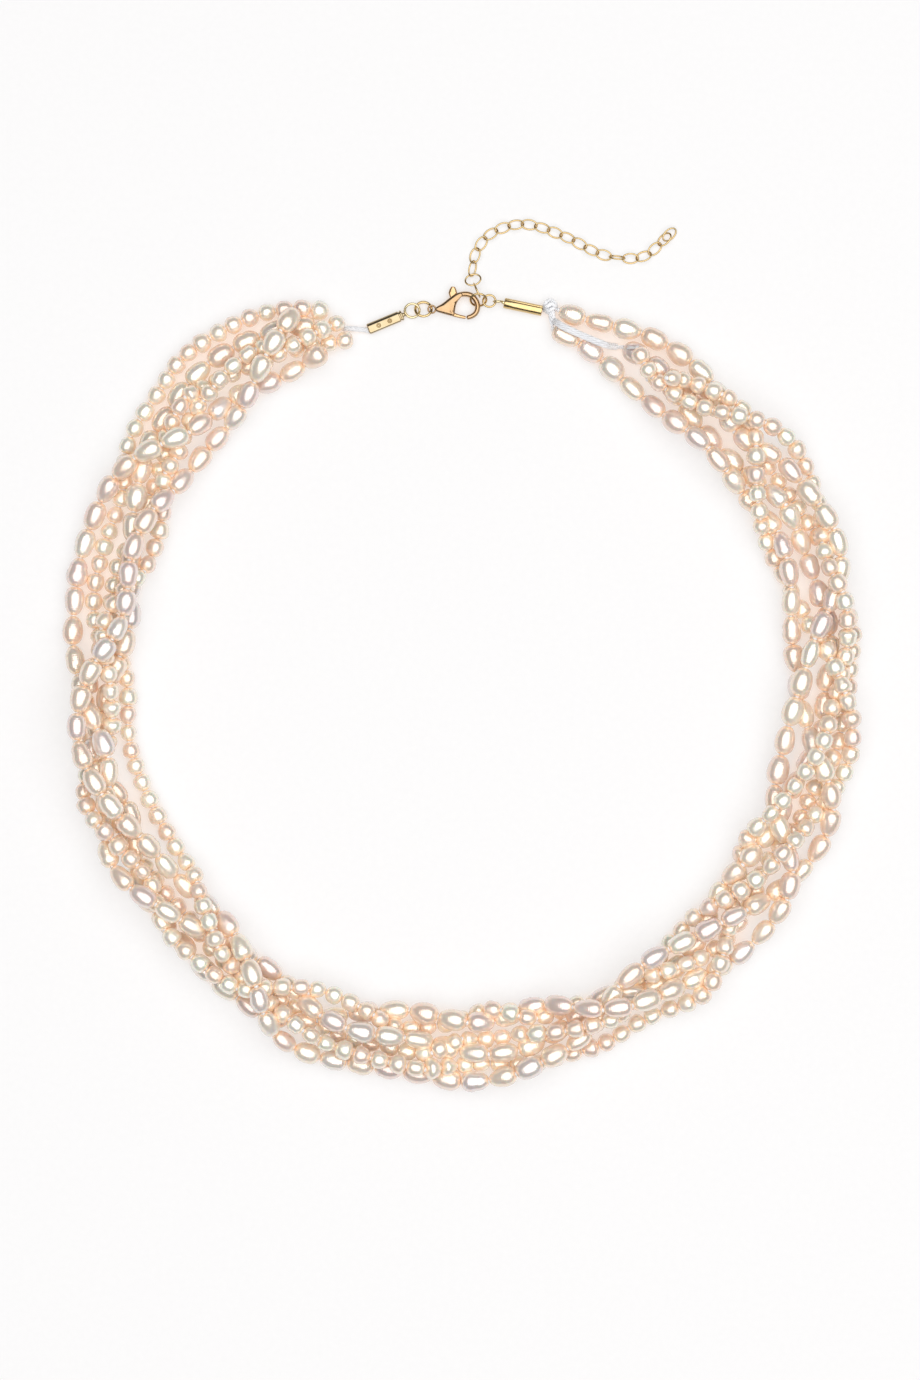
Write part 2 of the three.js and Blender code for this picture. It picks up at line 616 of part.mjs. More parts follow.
const necklace = new THREE.Group();
necklace.position.set(LOOP_CENTRE[0], LOOP_CENTRE[1], 0);

function addPiece(parent, name, geometry, material) {
  const mesh = new THREE.Mesh(geometry, material);
  mesh.name = name;
  parent.add(mesh);
  return mesh;
}

function addStrands() {
  const names = Object.keys(ROUTES);
  const strands = names.map((name) => stringStrand(ROUTES[name]));
  settle(strands);
  const quarters = [
    ['front_left', FLEX.front, FLEX.left],
    ['back_left', FLEX.left, FLEX.clasp],
    ['back_right', 0, FLEX.right],
    ['front_right', FLEX.right, FLEX.front],
  ];
  strands.forEach((pearls, i) => {
    const whole = toManifold(stringGeometry(pearls, ROUTES[names[i]].kind.sides));
    for (const [quarter, from, to] of quarters) {
      const geometry = toGeometry(quarterOf(whole, from, to));
      addPiece(necklace, `${names[i]}_${quarter}`, geometry, PEARL);
    }
  });
  return strands;
}

function addRing(name, { at, roll, radius, wire }) {
  const oval = { halfLength: radius, halfWidth: radius, wire };
  const ring = addPiece(necklace, name, ringGeometry(oval), YELLOW_GOLD);
  return pose(ring, at, 0, 0, roll);
}

function addClasp() {
  const clasp = new THREE.Group();
  clasp.position.set(...CLASP_EYE.at);
  addPiece(clasp, 'clasp_body', claspBody(), ROSE_GOLD);
  addPiece(clasp, 'clasp_lever', claspLever(), ROSE_GOLD);
  const pinLength = CLASP_THICKNESS - PIN_SHORTNESS;
  addPiece(clasp, 'clasp_pivot_pin', pinRod(PIN_RADIUS, pinLength), ROSE_GOLD);
  addPiece(clasp, 'clasp_spring', claspSpring(), YELLOW_GOLD);
  necklace.add(clasp);
}

function addChain() {
  [FIRST_LINK, WIDE_LINK].forEach(({ at, heading, dip, roll, ...shape }, i) => {
    const geometry = ringGeometry({ ...LINK, ...shape });
    const link = addPiece(necklace, `chain_link_0${i + 1}`, geometry, YELLOW_GOLD);
    pose(link, at, heading, dip, roll);
  });
  const route = new THREE.CatmullRomCurve3(CHAIN_ROUTE.map(([x, y]) => new THREE.Vector3(x, y)));
  const total = route.getLength();
  for (let i = 0; i < CHAIN_LINKS; i += 1) {
    const slid = i === CHAIN_LINKS - 1 ? CHAIN_PITCH - LAST_PITCH : 0;
    const share = (i * CHAIN_PITCH - slid) / total;
    const place = route.getPointAt(share);
    const ahead = route.getTangentAt(share);
    const heading = Math.atan2(ahead.y, ahead.x) / DEGREE;
    const roll = STEEP_ROLLS.get(i) ?? (i % 2 ? -CHAIN_ROLL : CHAIN_ROLL);
    const rise = LINK.halfWidth * Math.sin(Math.abs(roll) * DEGREE) + LINK.wire + LINK_LIFT;
    const name = `chain_link_${String(i + 3).padStart(2, '0')}`;
    const link = addPiece(necklace, name, ringGeometry(LINK), YELLOW_GOLD);
    pose(link, [place.x, place.y, rise], heading, 0, roll);
  }
}

const strands = addStrands();
addPiece(necklace, 'left_cap', leftCap(), YELLOW_GOLD);
addPiece(necklace, 'right_cap', rightCap(), YELLOW_GOLD);
addRing('jump_ring', JUMP_RING);
addRing('hook_ring', HOOK_RING);
addRing('side_ring', SIDE_RING);
addClasp();
addChain();
addPiece(necklace, 'left_thread', tubeAlong(LEFT_THREAD, BUNDLE_RADIUS.left, 8, 4), SILK);
addPiece(necklace, 'thread_knot', threadKnot(), SILK);
addPiece(necklace, 'right_thread', rightThread(strands.flat()), SILK);

export default necklace;
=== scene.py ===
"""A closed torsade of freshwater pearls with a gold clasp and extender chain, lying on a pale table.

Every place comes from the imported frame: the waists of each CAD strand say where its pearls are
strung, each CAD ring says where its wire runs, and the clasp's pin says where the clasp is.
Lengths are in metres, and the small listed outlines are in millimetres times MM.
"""

import json
import math

import bmesh
import bpy
import numpy as np
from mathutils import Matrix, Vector


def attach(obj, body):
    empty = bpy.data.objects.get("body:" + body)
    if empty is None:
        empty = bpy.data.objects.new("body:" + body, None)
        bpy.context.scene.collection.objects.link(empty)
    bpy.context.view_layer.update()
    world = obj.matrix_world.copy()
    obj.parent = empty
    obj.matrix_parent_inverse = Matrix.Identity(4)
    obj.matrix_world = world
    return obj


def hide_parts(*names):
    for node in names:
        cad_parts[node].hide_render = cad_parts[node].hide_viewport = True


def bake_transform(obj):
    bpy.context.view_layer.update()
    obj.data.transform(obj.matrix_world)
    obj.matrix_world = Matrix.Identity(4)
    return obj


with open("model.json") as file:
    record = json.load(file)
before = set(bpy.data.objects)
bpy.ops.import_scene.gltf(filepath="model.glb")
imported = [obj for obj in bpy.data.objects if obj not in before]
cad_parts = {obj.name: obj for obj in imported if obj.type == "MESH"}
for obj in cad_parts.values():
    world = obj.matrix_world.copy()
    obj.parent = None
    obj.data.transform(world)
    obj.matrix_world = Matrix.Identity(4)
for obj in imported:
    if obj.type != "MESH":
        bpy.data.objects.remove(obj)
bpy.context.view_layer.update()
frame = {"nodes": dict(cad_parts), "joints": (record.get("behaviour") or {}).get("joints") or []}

MM = 0.001
SEED = 20
UP = np.array((0, 0, 1.0))
scene = bpy.context.scene

STRANDS = {f"{kind}_{letter}": kind for kind in ("rice", "small") for letter in "abc"}
QUARTERS = ("front_left", "back_left", "back_right", "front_right")
MEAN_LENGTH = {"rice": 5.3 * MM, "small": 3.25 * MM}
MEAN_WIDTH = {"rice": 4.05 * MM, "small": 3.45 * MM}
WAIST_CORNERS = {"rice": 6, "small": 5}
WAIST_REACH = 0.8 * MM  # the corners of one waist lie closer together than this
LONE_CORNERS = 3  # fewer corners than this lie that close together where a pearl is widest
WIDEST_SAMPLES = 4
TRUSTED_WIDTHS = (0.85, 1.15)  # a read width outside this share of the mean isn't used
BEND_REACH = 10 * MM  # on each side of a flex joint the strand bends smoothly
DIVISION_SPARE = 1.45 * MM  # corners this close to a flex joint's plane are strand ends
SIDE_JOINTS_AHEAD = 3.33 * MM  # the side flex joints lie this far to +Y of the loop's centre

PEARL_RINGS = 13
PEARL_SIDES = 20

joints = {joint["name"]: joint for joint in frame["joints"]}
FLEX = {name: joints[name] for name in ("flex_left", "flex_front", "flex_right")}
left_pivot, right_pivot = (Vector(joints[n]["pos_m"]) for n in ("flex_left", "flex_right"))
CENTRE = Vector(((left_pivot.x + right_pivot.x) / 2, left_pivot.y - SIDE_JOINTS_AHEAD, 0))


def once_round(count):
    """Evenly spaced angles, once round."""
    return np.linspace(0, 2 * math.pi, count, endpoint=False)


# ---------------------------------------------------------------- reading the frame


def corners_of(node):
    """The distinct corners of a CAD node, as rows of x, y, z."""
    corners = np.array([v.co[:] for v in frame["nodes"][node].data.vertices])
    return np.unique(np.round(corners, 6), axis=0)


def angle_of(points):
    """Clockwise from +Y round the loop's centre, in degrees from 0 to 360."""
    offset = np.asarray(points) - np.array(CENTRE)
    return np.degrees(np.arctan2(offset[..., 0], offset[..., 1])) % 360


def flex_offsets(points, pivot):
    """Distances clockwise past a flex joint's plane, and infinity on the loop's other side."""
    outward = (Vector(pivot) - CENTRE).to_2d().normalized()
    clockwise = np.array((outward.y, -outward.x))
    offset = np.atleast_2d(points)[:, :2] - np.array(CENTRE)[:2]
    facing = offset @ np.array(outward) > 0
    return np.where(facing, offset @ clockwise, np.inf)


def division_distance(points):
    """How far each point is from the nearest plane that divides the torsade."""
    return np.min([np.abs(flex_offsets(points, j["pos_m"])) for j in FLEX.values()], axis=0)


def waists_of(strand):
    """The middles of the thin waists between pearls, in order, and the pearls' widest corners."""
    middles = []
    widest = []
    for quarter in QUARTERS:
        corners = corners_of(f"{strand}_{quarter}")
        corners = corners[division_distance(corners) > DIVISION_SPARE]
        apart = np.linalg.norm(corners[:, None] - corners[None], axis=2)
        near = (apart < WAIST_REACH).sum(axis=1)
        free = near >= WAIST_CORNERS[STRANDS[strand]]
        widest.append(corners[near < LONE_CORNERS])
        while free.any():
            first = int(np.argmax(free))
            ring = free & (apart[first] < WAIST_REACH)
            middles.append(corners[ring].mean(axis=0))
            free &= ~ring
    middles = np.array(middles)
    return middles[np.argsort(angle_of(middles))], np.concatenate(widest)


def pearls_of(strand):
    """Each pearl as (start, end, width): where its two waists are and how thick it is."""
    kind = STRANDS[strand]
    waists, widest = waists_of(strand)
    pearls = []
    for start, end in zip(waists[:-1], waists[1:]):
        count = max(1, round(float(np.linalg.norm(end - start)) / MEAN_LENGTH[kind]))
        for i in range(count):
            low = start + (end - start) * i / count
            high = start + (end - start) * (i + 1) / count
            reach = np.sort(np.linalg.norm(widest - (low + high) / 2, axis=1))[:WIDEST_SAMPLES]
            width = 2 * float(reach.mean())
            if not TRUSTED_WIDTHS[0] < width / MEAN_WIDTH[kind] < TRUSTED_WIDTHS[1]:
                width = MEAN_WIDTH[kind]
            pearls.append((low, high, width))
    return pearls


# ---------------------------------------------------------------- meshes


def add_object(name, data):
    """A new object in the scene."""
    obj = bpy.data.objects.new(name, data)
    scene.collection.objects.link(obj)
    return obj


def make_object(name, vertices, faces, closed=True):
    """An object from a mesh; a closed one is smooth, and all of its faces look outwards."""
    mesh = bpy.data.meshes.new(name)
    mesh.from_pydata([tuple(v) for v in vertices], [], [tuple(f) for f in faces])
    mesh.validate()
    if closed:
        surface = bmesh.new()
        surface.from_mesh(mesh)
        bmesh.ops.recalc_face_normals(surface, faces=surface.faces)
        surface.to_mesh(mesh)
        surface.free()
        mesh.shade_smooth()
    mesh.update()
    return add_object(name, mesh)


def grid_faces(rings, sides, closed=False):
    """Quads between rings of corners; a closed grid's last ring meets its first."""
    faces = []
    for r in range(rings if closed else rings - 1):
        here, there = r * sides, (r + 1) % rings * sides
        for s in range(sides):
            t = (s + 1) % sides
            faces.append((here + s, there + s, there + t, here + t))
    return faces


def close_ends(grid, sides):
    """Adds a face over each end of a swept grid."""
    corners, faces = grid
    faces.append(tuple(range(sides)))
    faces.append(tuple(reversed(range(len(corners) - sides, len(corners)))))


STEEP = 0.95  # a path whose tangent rises more than this is swept round another axis


def side_and_top(tangent, up=UP):
    """Two unit vectors across a direction: the first lies across up as well."""
    side = np.cross(tangent, up)
    side /= np.linalg.norm(side)
    return side, np.cross(side, tangent)


def sweep(points, radii, sides=12, heights=None, closed=False):
    """A tube through the points, with a half width and a half height at each."""
    points = np.asarray(points, float)
    radii = np.broadcast_to(radii, len(points))
    heights = radii if heights is None else np.broadcast_to(heights, len(points))
    if closed:
        tangents = np.roll(points, -1, axis=0) - np.roll(points, 1, axis=0)
    else:
        tangents = np.gradient(points, axis=0)
    tangents /= np.linalg.norm(tangents, axis=1)[:, None]
    turns = once_round(sides)
    outline = np.stack([np.cos(turns), np.sin(turns)], axis=1)
    level = abs(tangents[:, 2]).max() < STEEP
    up = UP if level else np.array((0.1, 1, 0.1))
    corners = []
    for point, tangent, wide, high in zip(points, tangents, radii, heights):
        side, top = side_and_top(tangent, up)
        corners.extend(point + side * (u * wide) + top * (v * high) for u, v in outline)
    tube = (corners, grid_faces(len(points), sides, closed))
    if not closed:
        close_ends(tube, sides)
    return tube


def joined(parts):
    """Several (corners, faces) as one."""
    corners, faces = [], []
    for some_corners, some_faces in parts:
        base = len(corners)
        corners.extend(some_corners)
        faces.extend(tuple(base + i for i in face) for face in some_faces)
    return corners, faces


def curve_through(points, count):
    """A smooth curve through given points, as evenly counted points."""
    points = np.asarray(points, float)
    padded = np.vstack([2 * points[0] - points[1], points, 2 * points[-1] - points[-2]])
    made = []
    for k in np.linspace(0, len(points) - 1, count):
        i = min(int(k), len(points) - 2)
        t = k - i
        a, b, c, d = padded[i : i + 4]
        bend = (2 * a - 5 * b + 4 * c - d) * t**2
        twist = (3 * b - a - 3 * c + d) * t**3
        made.append(0.5 * (2 * b + (c - a) * t + bend + twist))
    return np.array(made)


# ---------------------------------------------------------------- node helpers


class Nodes:
    """Short ways to add and join shader nodes of one material."""

    def __init__(self, name):
        """Makes the material, with a Principled shader to fill in."""
        self.material = bpy.data.materials.new(name)
        self.material.use_nodes = True
        self.tree = self.material.node_tree
        self.shader = self.tree.nodes["Principled BSDF"]
        self.place = self.add("TexCoord").outputs["Object"]

    def add(self, kind, **values):
        """A new shader node, with values for its inputs or its settings."""
        node = self.tree.nodes.new("ShaderNode" + kind)
        for key, value in values.items():
            if key in node.inputs:
                node.inputs[key].default_value = value
            else:
                setattr(node, key, value)
        return node

    def link(self, source, target):
        """Joins one node's output to another's input."""
        self.tree.links.new(source, target)

    def noise(self, scale, detail=2, roughness=0.5, vector=None):
        """A noise texture over the object, or over a vector; a larger scale is finer."""
        node = self.add("TexNoise", Scale=scale, Detail=detail, Roughness=roughness)
        self.link(vector or self.place, node.inputs["Vector"])
        return node.outputs["Fac"]

    def ramp(self, factor, stops):
        """A colour read from (position, colour) stops."""
        node = self.add("ValToRGB")
        elements = node.color_ramp.elements
        while len(elements) < len(stops):
            elements.new(0.5)
        for element, (position, colour) in zip(elements, stops):
            element.position = position
            element.color = (*colour, 1)
        self.link(factor, node.inputs["Fac"])
        return node.outputs["Color"]

    def mix(self, factor, a, b):
        """A blend from a to b; each can be a colour, a number or another node's output."""
        node = self.tree.nodes.new("ShaderNodeMix")
        node.data_type = "RGBA"
        for value, socket in ((factor, 0), (a, 6), (b, 7)):
            if isinstance(value, bpy.types.NodeSocket):
                self.link(value, node.inputs[socket])
            elif isinstance(value, tuple):
                node.inputs[socket].default_value = (*value, 1)
            else:
                node.inputs[socket].default_value = value
        return node.outputs[2]

    def range(self, value, low, high, from_low=0.0, from_high=1.0):
        """A value that runs from low to high while the input runs between the other two."""
        node = self.add("MapRange")
        self.link(value, node.inputs["Value"])
        node.inputs["From Min"].default_value = from_low
        node.inputs["From Max"].default_value = from_high
        node.inputs["To Min"].default_value = low
        node.inputs["To Max"].default_value = high
        return node.outputs["Result"]

    def bump(self, height, strength, distance):
        """Fine relief on the whole material."""
        node = self.add("Bump", Strength=strength, Distance=distance)
        self.link(height, node.inputs["Height"])
        self.link(node.outputs["Normal"], self.shader.inputs["Normal"])

    def set(self, **values):
        """Fills in the shader's inputs with numbers, colours or other nodes' outputs."""
        for key, value in values.items():
            socket = self.shader.inputs[key.replace("_", " ")]
            if isinstance(value, bpy.types.NodeSocket):
                self.link(value, socket)
            else:
                socket.default_value = value


# Nacre's body colours along each pearl's tint, from cream through peach to rose and silver.
NACRE_TINTS = [
    (0.0, (0.88, 0.86, 0.74)), (0.22, (0.92, 0.84, 0.72)), (0.42, (0.92, 0.78, 0.65)),
    (0.62, (0.91, 0.72, 0.60)), (0.80, (0.86, 0.70, 0.65)), (0.92, (0.80, 0.72, 0.70)),
    (1.0, (0.88, 0.80, 0.70)),
]
CLOUD_SCALE, CLOUD_CREAM = 420, (0.92, 0.89, 0.80)
BLUSH_SCALE, BLUSH_PEACH = 160, (0.93, 0.70, 0.54)
# Painted warm bounce light at each pearl's ends, where its neighbours on the strand touch it.
PAINTED_END_BOUNCE_PEACH = (0.93, 0.64, 0.43)
PAINTED_BOUNCE_PEACH = (1.0, 0.76, 0.54)  # painted bounce light: warmer where pearls face each other, standing in for light bouncing between them
# Painted glow, not a lamp: stands in for light bounced between and shining through crowded pearls.
PAINTED_GLOW_PEACH, PAINTED_GLOW_STRENGTH = (1.0, 0.70, 0.48, 1), 0.08
PIT_SCALE = 1500
GROWTH_RINGS = 2.2  # how many wave lengths fit from a pearl's middle to its end
NACRE_RELIEF = {"strength": 0.12, "distance": 0.3 * MM}

PATCH_SCALE = 700
SCRATCH_STRETCH = (900, 5200, 3000)
GOLD_RELIEF = {"strength": 0.14, "distance": 0.06 * MM}

FIBRE_SCALE, SHEEN_SCALE = 6000, 500
SILK_SHADE, SILK_WHITE = (0.88, 0.89, 0.93), (0.97, 0.97, 0.99)
SILK_RELIEF = {"strength": 0.4, "distance": 0.08 * MM}

PEARL_VALUES = ("tint", "along", "crowd")  # kept at every corner of a pearl


def pearl_material():
    """Freshwater nacre: cream to peach and rose, cloudy, with growth rings and soft gloss, plus
    painted warm bounce light and a painted glow where pearls meet.
    """
    n = Nodes("nacre")
    tint, along, crowd = (
        n.add("Attribute", attribute_name=name).outputs["Fac"] for name in PEARL_VALUES
    )
    body = n.ramp(tint, NACRE_TINTS)
    cloud = n.noise(CLOUD_SCALE)
    clouded = n.mix(n.range(cloud, 0.0, 0.4, 0.4, 0.75), body, CLOUD_CREAM)
    blush = n.noise(BLUSH_SCALE, detail=1)
    blushed = n.mix(n.range(blush, 0.0, 0.25, 0.5, 0.8), clouded, BLUSH_PEACH)
    # Painted warm bounce light at the pearl's ends, where neighbours on the strand touch.
    ends = n.mix(n.range(along, 0.0, 0.5, 0.72, 1.0), blushed, PAINTED_END_BOUNCE_PEACH)
    # Painted warm bounce light where other pearls face each corner.
    colour = n.mix(n.range(crowd, 0.0, 0.7, 0.15, 1.0), ends, PAINTED_BOUNCE_PEACH)
    rings = n.add("TexWave", Scale=1.0, Distortion=2.2, Detail=1.0)
    rings.bands_direction = "X"
    stretch = n.add("CombineXYZ")
    n.link(n.range(along, 0.0, GROWTH_RINGS), stretch.inputs["X"])
    n.link(tint, stretch.inputs["Y"])
    n.link(stretch.outputs["Vector"], rings.inputs["Vector"])
    pits = n.noise(PIT_SCALE, detail=3, roughness=0.55)
    height = n.mix(0.35, pits, rings.outputs["Color"])
    n.bump(height, **NACRE_RELIEF)
    n.set(
        Base_Color=colour,
        Metallic=0.42,
        Roughness=n.range(cloud, 0.13, 0.24, 0.3, 0.7),
        Subsurface_Weight=0.35,
        Subsurface_Radius=(1.0, 0.62, 0.4),
        Subsurface_Scale=1.5 * MM,
        Specular_IOR_Level=0.6,
        Coat_Weight=0.6,
        Coat_Roughness=0.12,
        Coat_IOR=1.5,
        Sheen_Weight=0.15,
        Sheen_Roughness=0.4,
        # Painted glow where pearls crowd, standing in for bounced and shining-through light.
        Emission_Color=PAINTED_GLOW_PEACH,
        Emission_Strength=n.range(crowd, 0.0, PAINTED_GLOW_STRENGTH, 0.1, 0.9),
    )
    n.material.cycles.emission_sampling = "NONE"
    return n.material


def gold_material(name, colour, deep, roughness):
    """Polished gold plate with hairline scratches and a little unevenness."""
    n = Nodes(name)
    patches = n.noise(PATCH_SCALE)
    stretched = n.add("Mapping")
    n.link(n.place, stretched.inputs["Vector"])
    stretched.inputs["Scale"].default_value = SCRATCH_STRETCH
    scratches = n.noise(1.0, detail=3, roughness=0.6, vector=stretched.outputs["Vector"])
    n.bump(n.mix(0.5, scratches, patches), **GOLD_RELIEF)
    n.set(
        Base_Color=n.mix(n.range(patches, 0.0, 0.5, 0.35, 0.7), colour, deep),
        Metallic=1.0,
        Roughness=n.range(scratches, roughness * 0.8, roughness * 1.35, 0.3, 0.7),
    )
    return n.material


def silk_material():
    """Translucent white stringing silk, with a fine twist."""
    n = Nodes("silk")
    fibres = n.noise(FIBRE_SCALE, roughness=0.6)
    soft = n.noise(SHEEN_SCALE)
    n.bump(fibres, **SILK_RELIEF)
    n.set(
        Base_Color=n.mix(soft, SILK_SHADE, SILK_WHITE),
        Roughness=n.range(fibres, 0.35, 0.55),
        Subsurface_Weight=0.5,
        Subsurface_Radius=(1.0, 1.0, 1.0),
        Subsurface_Scale=0.8 * MM,
        Sheen_Weight=0.3,
        Sheen_Roughness=0.3,
    )
    return n.material


NACRE = pearl_material()
YELLOW_GOLD = gold_material("yellow_gold", (0.69, 0.52, 0.27), (0.60, 0.40, 0.15), 0.14)
ROSE_GOLD = gold_material("rose_gold", (0.49, 0.33, 0.185), (0.40, 0.23, 0.11), 0.15)
CAP_GOLD = gold_material("cap_gold", (0.50, 0.40, 0.25), (0.43, 0.32, 0.17), 0.15)
PALE_GOLD = gold_material("pale_gold", (0.78, 0.68, 0.44), (0.66, 0.50, 0.24), 0.2)
PALE_ROSE_GOLD = gold_material("pale_rose_gold", (0.66, 0.44, 0.24), (0.54, 0.32, 0.13), 0.18)
SILK = silk_material()


def finish_piece(obj, material, body=None, node=None):
    """Gives obj its material and slot, the body it rides on and the CAD node it replaces."""
    obj.data.materials.append(material)
    if body is not None:
        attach(obj, body)
    if node is not None:
        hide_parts(node)


# ---------------------------------------------------------------- pearls

# Ranges that each pearl is drawn from. A fuller outline keeps its width further along, and a
# blunter one ends more suddenly. Fill is how much of the space between two knots it takes up.
PEARL_SHAPE = {
    "rice": {"fullness": (0.74, 0.92), "bluntness": (0.80, 1.0), "tint": (0.18, 1.0), "fill": 0.985},
    "small": {"fullness": (0.78, 1.0), "bluntness": (0.72, 0.95), "tint": (0.0, 0.72), "fill": 0.975},
}
PEARL_TAPER = 0.2
GROOVE_CHANCES = (0.6, 0.3, 0.1)  # for none, one and two growth grooves
GROOVE_PLACE = 0.45  # grooves lie within this share of the half length
GROOVE_DEPTH = (0.03, 0.09)
GROOVE_WIDTH = 0.14
WAVE_SIZE = 0.032  # how uneven a pearl's girth is, for one wave round it
WAVE_LEAN = 1.5  # how far the waves turn along the pearl, in radians
WAVE_TURN = 6.3  # about a whole turn, so that each wave starts anywhere
FLATNESS = (0.95, 1.0)
WIDTH_SPREAD = (0.94, 1.05)
POLE_SHARE = 0.97  # the drill holes dent the ends by the rest

KNOT_STEPS = np.array((-0.34, -0.17, 0, 0.17, 0.34)) * MM
KNOT_RADII = np.array((0.2, 0.4, 0.46, 0.4, 0.2)) * MM

CROWD_SEARCH = 7 * MM
CROWD_GAP = 1.3 * MM  # a corner with this much free space before it isn't crowded at all
SAME_PLACE = 0.1 * MM


def pearl_faces():
    """The faces of one pearl: quads between its rings, and a fan round each pole."""
    faces = grid_faces(PEARL_RINGS, PEARL_SIDES)
    low, high = PEARL_RINGS * PEARL_SIDES, PEARL_RINGS * PEARL_SIDES + 1
    last = (PEARL_RINGS - 1) * PEARL_SIDES
    for s in range(PEARL_SIDES):
        t = (s + 1) % PEARL_SIDES
        faces.append((low, s, t))
        faces.append((high, last + t, last + s))
    return faces


PEARL_FACES = pearl_faces()


def pearl_corners(start, end, width, kind, random):
    """One pearl's corners, and how far along its length from -1 to 1 each lies."""
    axis = end - start
    length = float(np.linalg.norm(axis))
    axis = axis / length
    side, top = side_and_top(axis)
    shape = PEARL_SHAPE[kind]

    t = np.linspace(0, math.pi, PEARL_RINGS + 2)[1:-1, None]
    turn = once_round(PEARL_SIDES)[None]
    fullness = random.uniform(*shape["fullness"])
    bluntness = random.uniform(*shape["bluntness"])
    x = -np.sign(np.cos(t)) * np.abs(np.cos(t)) ** bluntness
    radius = np.sin(t) ** fullness
    radius = radius * (1 + random.uniform(-PEARL_TAPER, PEARL_TAPER) * x)
    grooves = random.choice([0, 1, 2], p=GROOVE_CHANCES)
    for _ in range(grooves):
        place = random.uniform(-GROOVE_PLACE, GROOVE_PLACE)
        depth = random.uniform(*GROOVE_DEPTH)
        radius = radius * (1 - depth * np.exp(-(((x - place) / GROOVE_WIDTH) ** 2)))
    uneven = 1 + 0 * turn
    for waves in (1, 2, 3):
        size = random.uniform(0, WAVE_SIZE / waves)
        lean = random.uniform(-WAVE_LEAN, WAVE_LEAN)
        uneven = uneven + size * np.cos(waves * turn + lean * x + random.uniform(0, WAVE_TURN))
    flat = random.uniform(*FLATNESS)
    width = width * random.uniform(*WIDTH_SPREAD)
    u = radius * uneven * np.cos(turn) * width / 2
    v = radius * uneven * np.sin(turn) * width / 2 * flat
    along = np.broadcast_to(x, u.shape)
    spin = random.uniform(0, 2 * math.pi)
    across = u * math.cos(spin) - v * math.sin(spin)
    rise = u * math.sin(spin) + v * math.cos(spin)
    half = length / 2 * shape["fill"]
    middle = (start + end) / 2
    body = middle + along[..., None] * half * axis + across[..., None] * side + rise[..., None] * top
    poles = [middle - axis * half * POLE_SHARE, middle + axis * half * POLE_SHARE]
    return np.vstack([body.reshape(-1, 3), poles]), np.append(along.ravel(), [-1.0, 1.0])


def strand_object(name, pearls, kind, random):
    """All the given pearls as one object of separate closed islands."""
    corners, faces = [], []
    values = {key: [] for key in PEARL_VALUES}
    for start, end, width, tint in pearls:
        made, along = pearl_corners(start, end, width, kind, random)
        base = len(corners)
        corners.extend(made)
        faces.extend(tuple(base + i for i in face) for face in PEARL_FACES)
        values["along"].extend(np.abs(along))
        values["tint"].extend([tint] * len(made))
        values["crowd"].extend(crowding(made, (start + end) / 2))
    obj = make_object(name, corners, faces)
    for key, numbers in values.items():
        attribute = obj.data.attributes.new(key, "FLOAT", "POINT")
        attribute.data.foreach_set("value", np.array(numbers, np.float32))
    finish_piece(obj, NACRE)
    return obj


def knots_object(name, places):
    """The silk knots between pearls."""
    parts = [sweep(at + KNOT_STEPS[:, None] * axis, KNOT_RADII, sides=8) for at, axis in places]
    obj = make_object(name, *joined(parts))
    finish_piece(obj, SILK)
    return obj


def body_at(point):
    """The quarter a place on the torsade belongs to, or its flex joint where it bends."""
    for joint in FLEX.values():
        if abs(float(flex_offsets(point, joint["pos_m"])[0])) < BEND_REACH:
            return joint["name"]
    angle = float(angle_of(point))
    front = float(angle_of(joints["flex_front"]["pos_m"]))
    left = float(angle_of(left_pivot))
    right = float(angle_of(right_pivot))
    if angle < right:
        return "back_right"
    if angle < front:
        return "front_right"
    return "front_left" if angle < left else "back_left"


def settle_on(obj, place):
    """Makes obj ride on a quarter; one at a flex joint only has its place baked into its mesh."""
    if place in QUARTERS:
        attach(obj, place)
        return
    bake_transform(obj)


def balls_of(pearls):
    """Each pearl as three balls along its length: (pearl's middle, ball's place, radius)."""
    balls = []
    for start, end, width in pearls:
        middle = (start + end) / 2
        length = float(np.linalg.norm(end - start))
        reach = max(length - width, 0) / 2
        axis = (end - start) / length
        balls.extend((middle, middle + axis * reach * side, width / 2) for side in (-1, 0, 1))
    return balls


def crowding(corners, middle):
    """How closely other pearls face each corner, which sets the painted bounce light and glow: 1
    where they touch, 0 where nothing is near.
    """
    near = np.linalg.norm(BALL_PLACES - middle, axis=1) < CROWD_SEARCH
    near &= np.linalg.norm(BALL_MIDDLES - middle, axis=1) > SAME_PLACE
    if not near.any():
        return np.zeros(len(corners))
    gaps = np.linalg.norm(corners[:, None] - BALL_PLACES[near][None], axis=2) - BALL_RADII[near]
    return np.clip(1 - gaps.min(axis=1) / CROWD_GAP, 0, 1)


PEARLS = {strand: pearls_of(strand) for strand in STRANDS}
ALL_BALLS = [ball for pearls in PEARLS.values() for ball in balls_of(pearls)]
BALL_MIDDLES = np.array([ball[0] for ball in ALL_BALLS])
BALL_PLACES = np.array([ball[1] for ball in ALL_BALLS])
BALL_RADII = np.array([ball[2] for ball in ALL_BALLS])


def make_strands():
    """Every strand's pearls and knots, in one object for each quarter and each flex joint."""
    for index, (strand, kind) in enumerate(STRANDS.items()):
        random = np.random.default_rng([SEED, index])
        groups = {}
        for start, end, width in PEARLS[strand]:
            place = body_at((start + end) / 2)
            tint = random.uniform(*PEARL_SHAPE[kind]["tint"])
            groups.setdefault(place, []).append((start, end, width, tint))
        for place, members in groups.items():
            obj = strand_object(f"pearls_{strand}_{place}", members, kind, random)
            settle_on(obj, place)
            if place in QUARTERS:
                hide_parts(f"{strand}_{place}")
            knots = [(a, (b - a) / np.linalg.norm(b - a)) for a, b, _, _ in members]
            settle_on(knots_object(f"knots_{strand}_{place}", knots), place)


make_strands()


# ---------------------------------------------------------------- wire rings

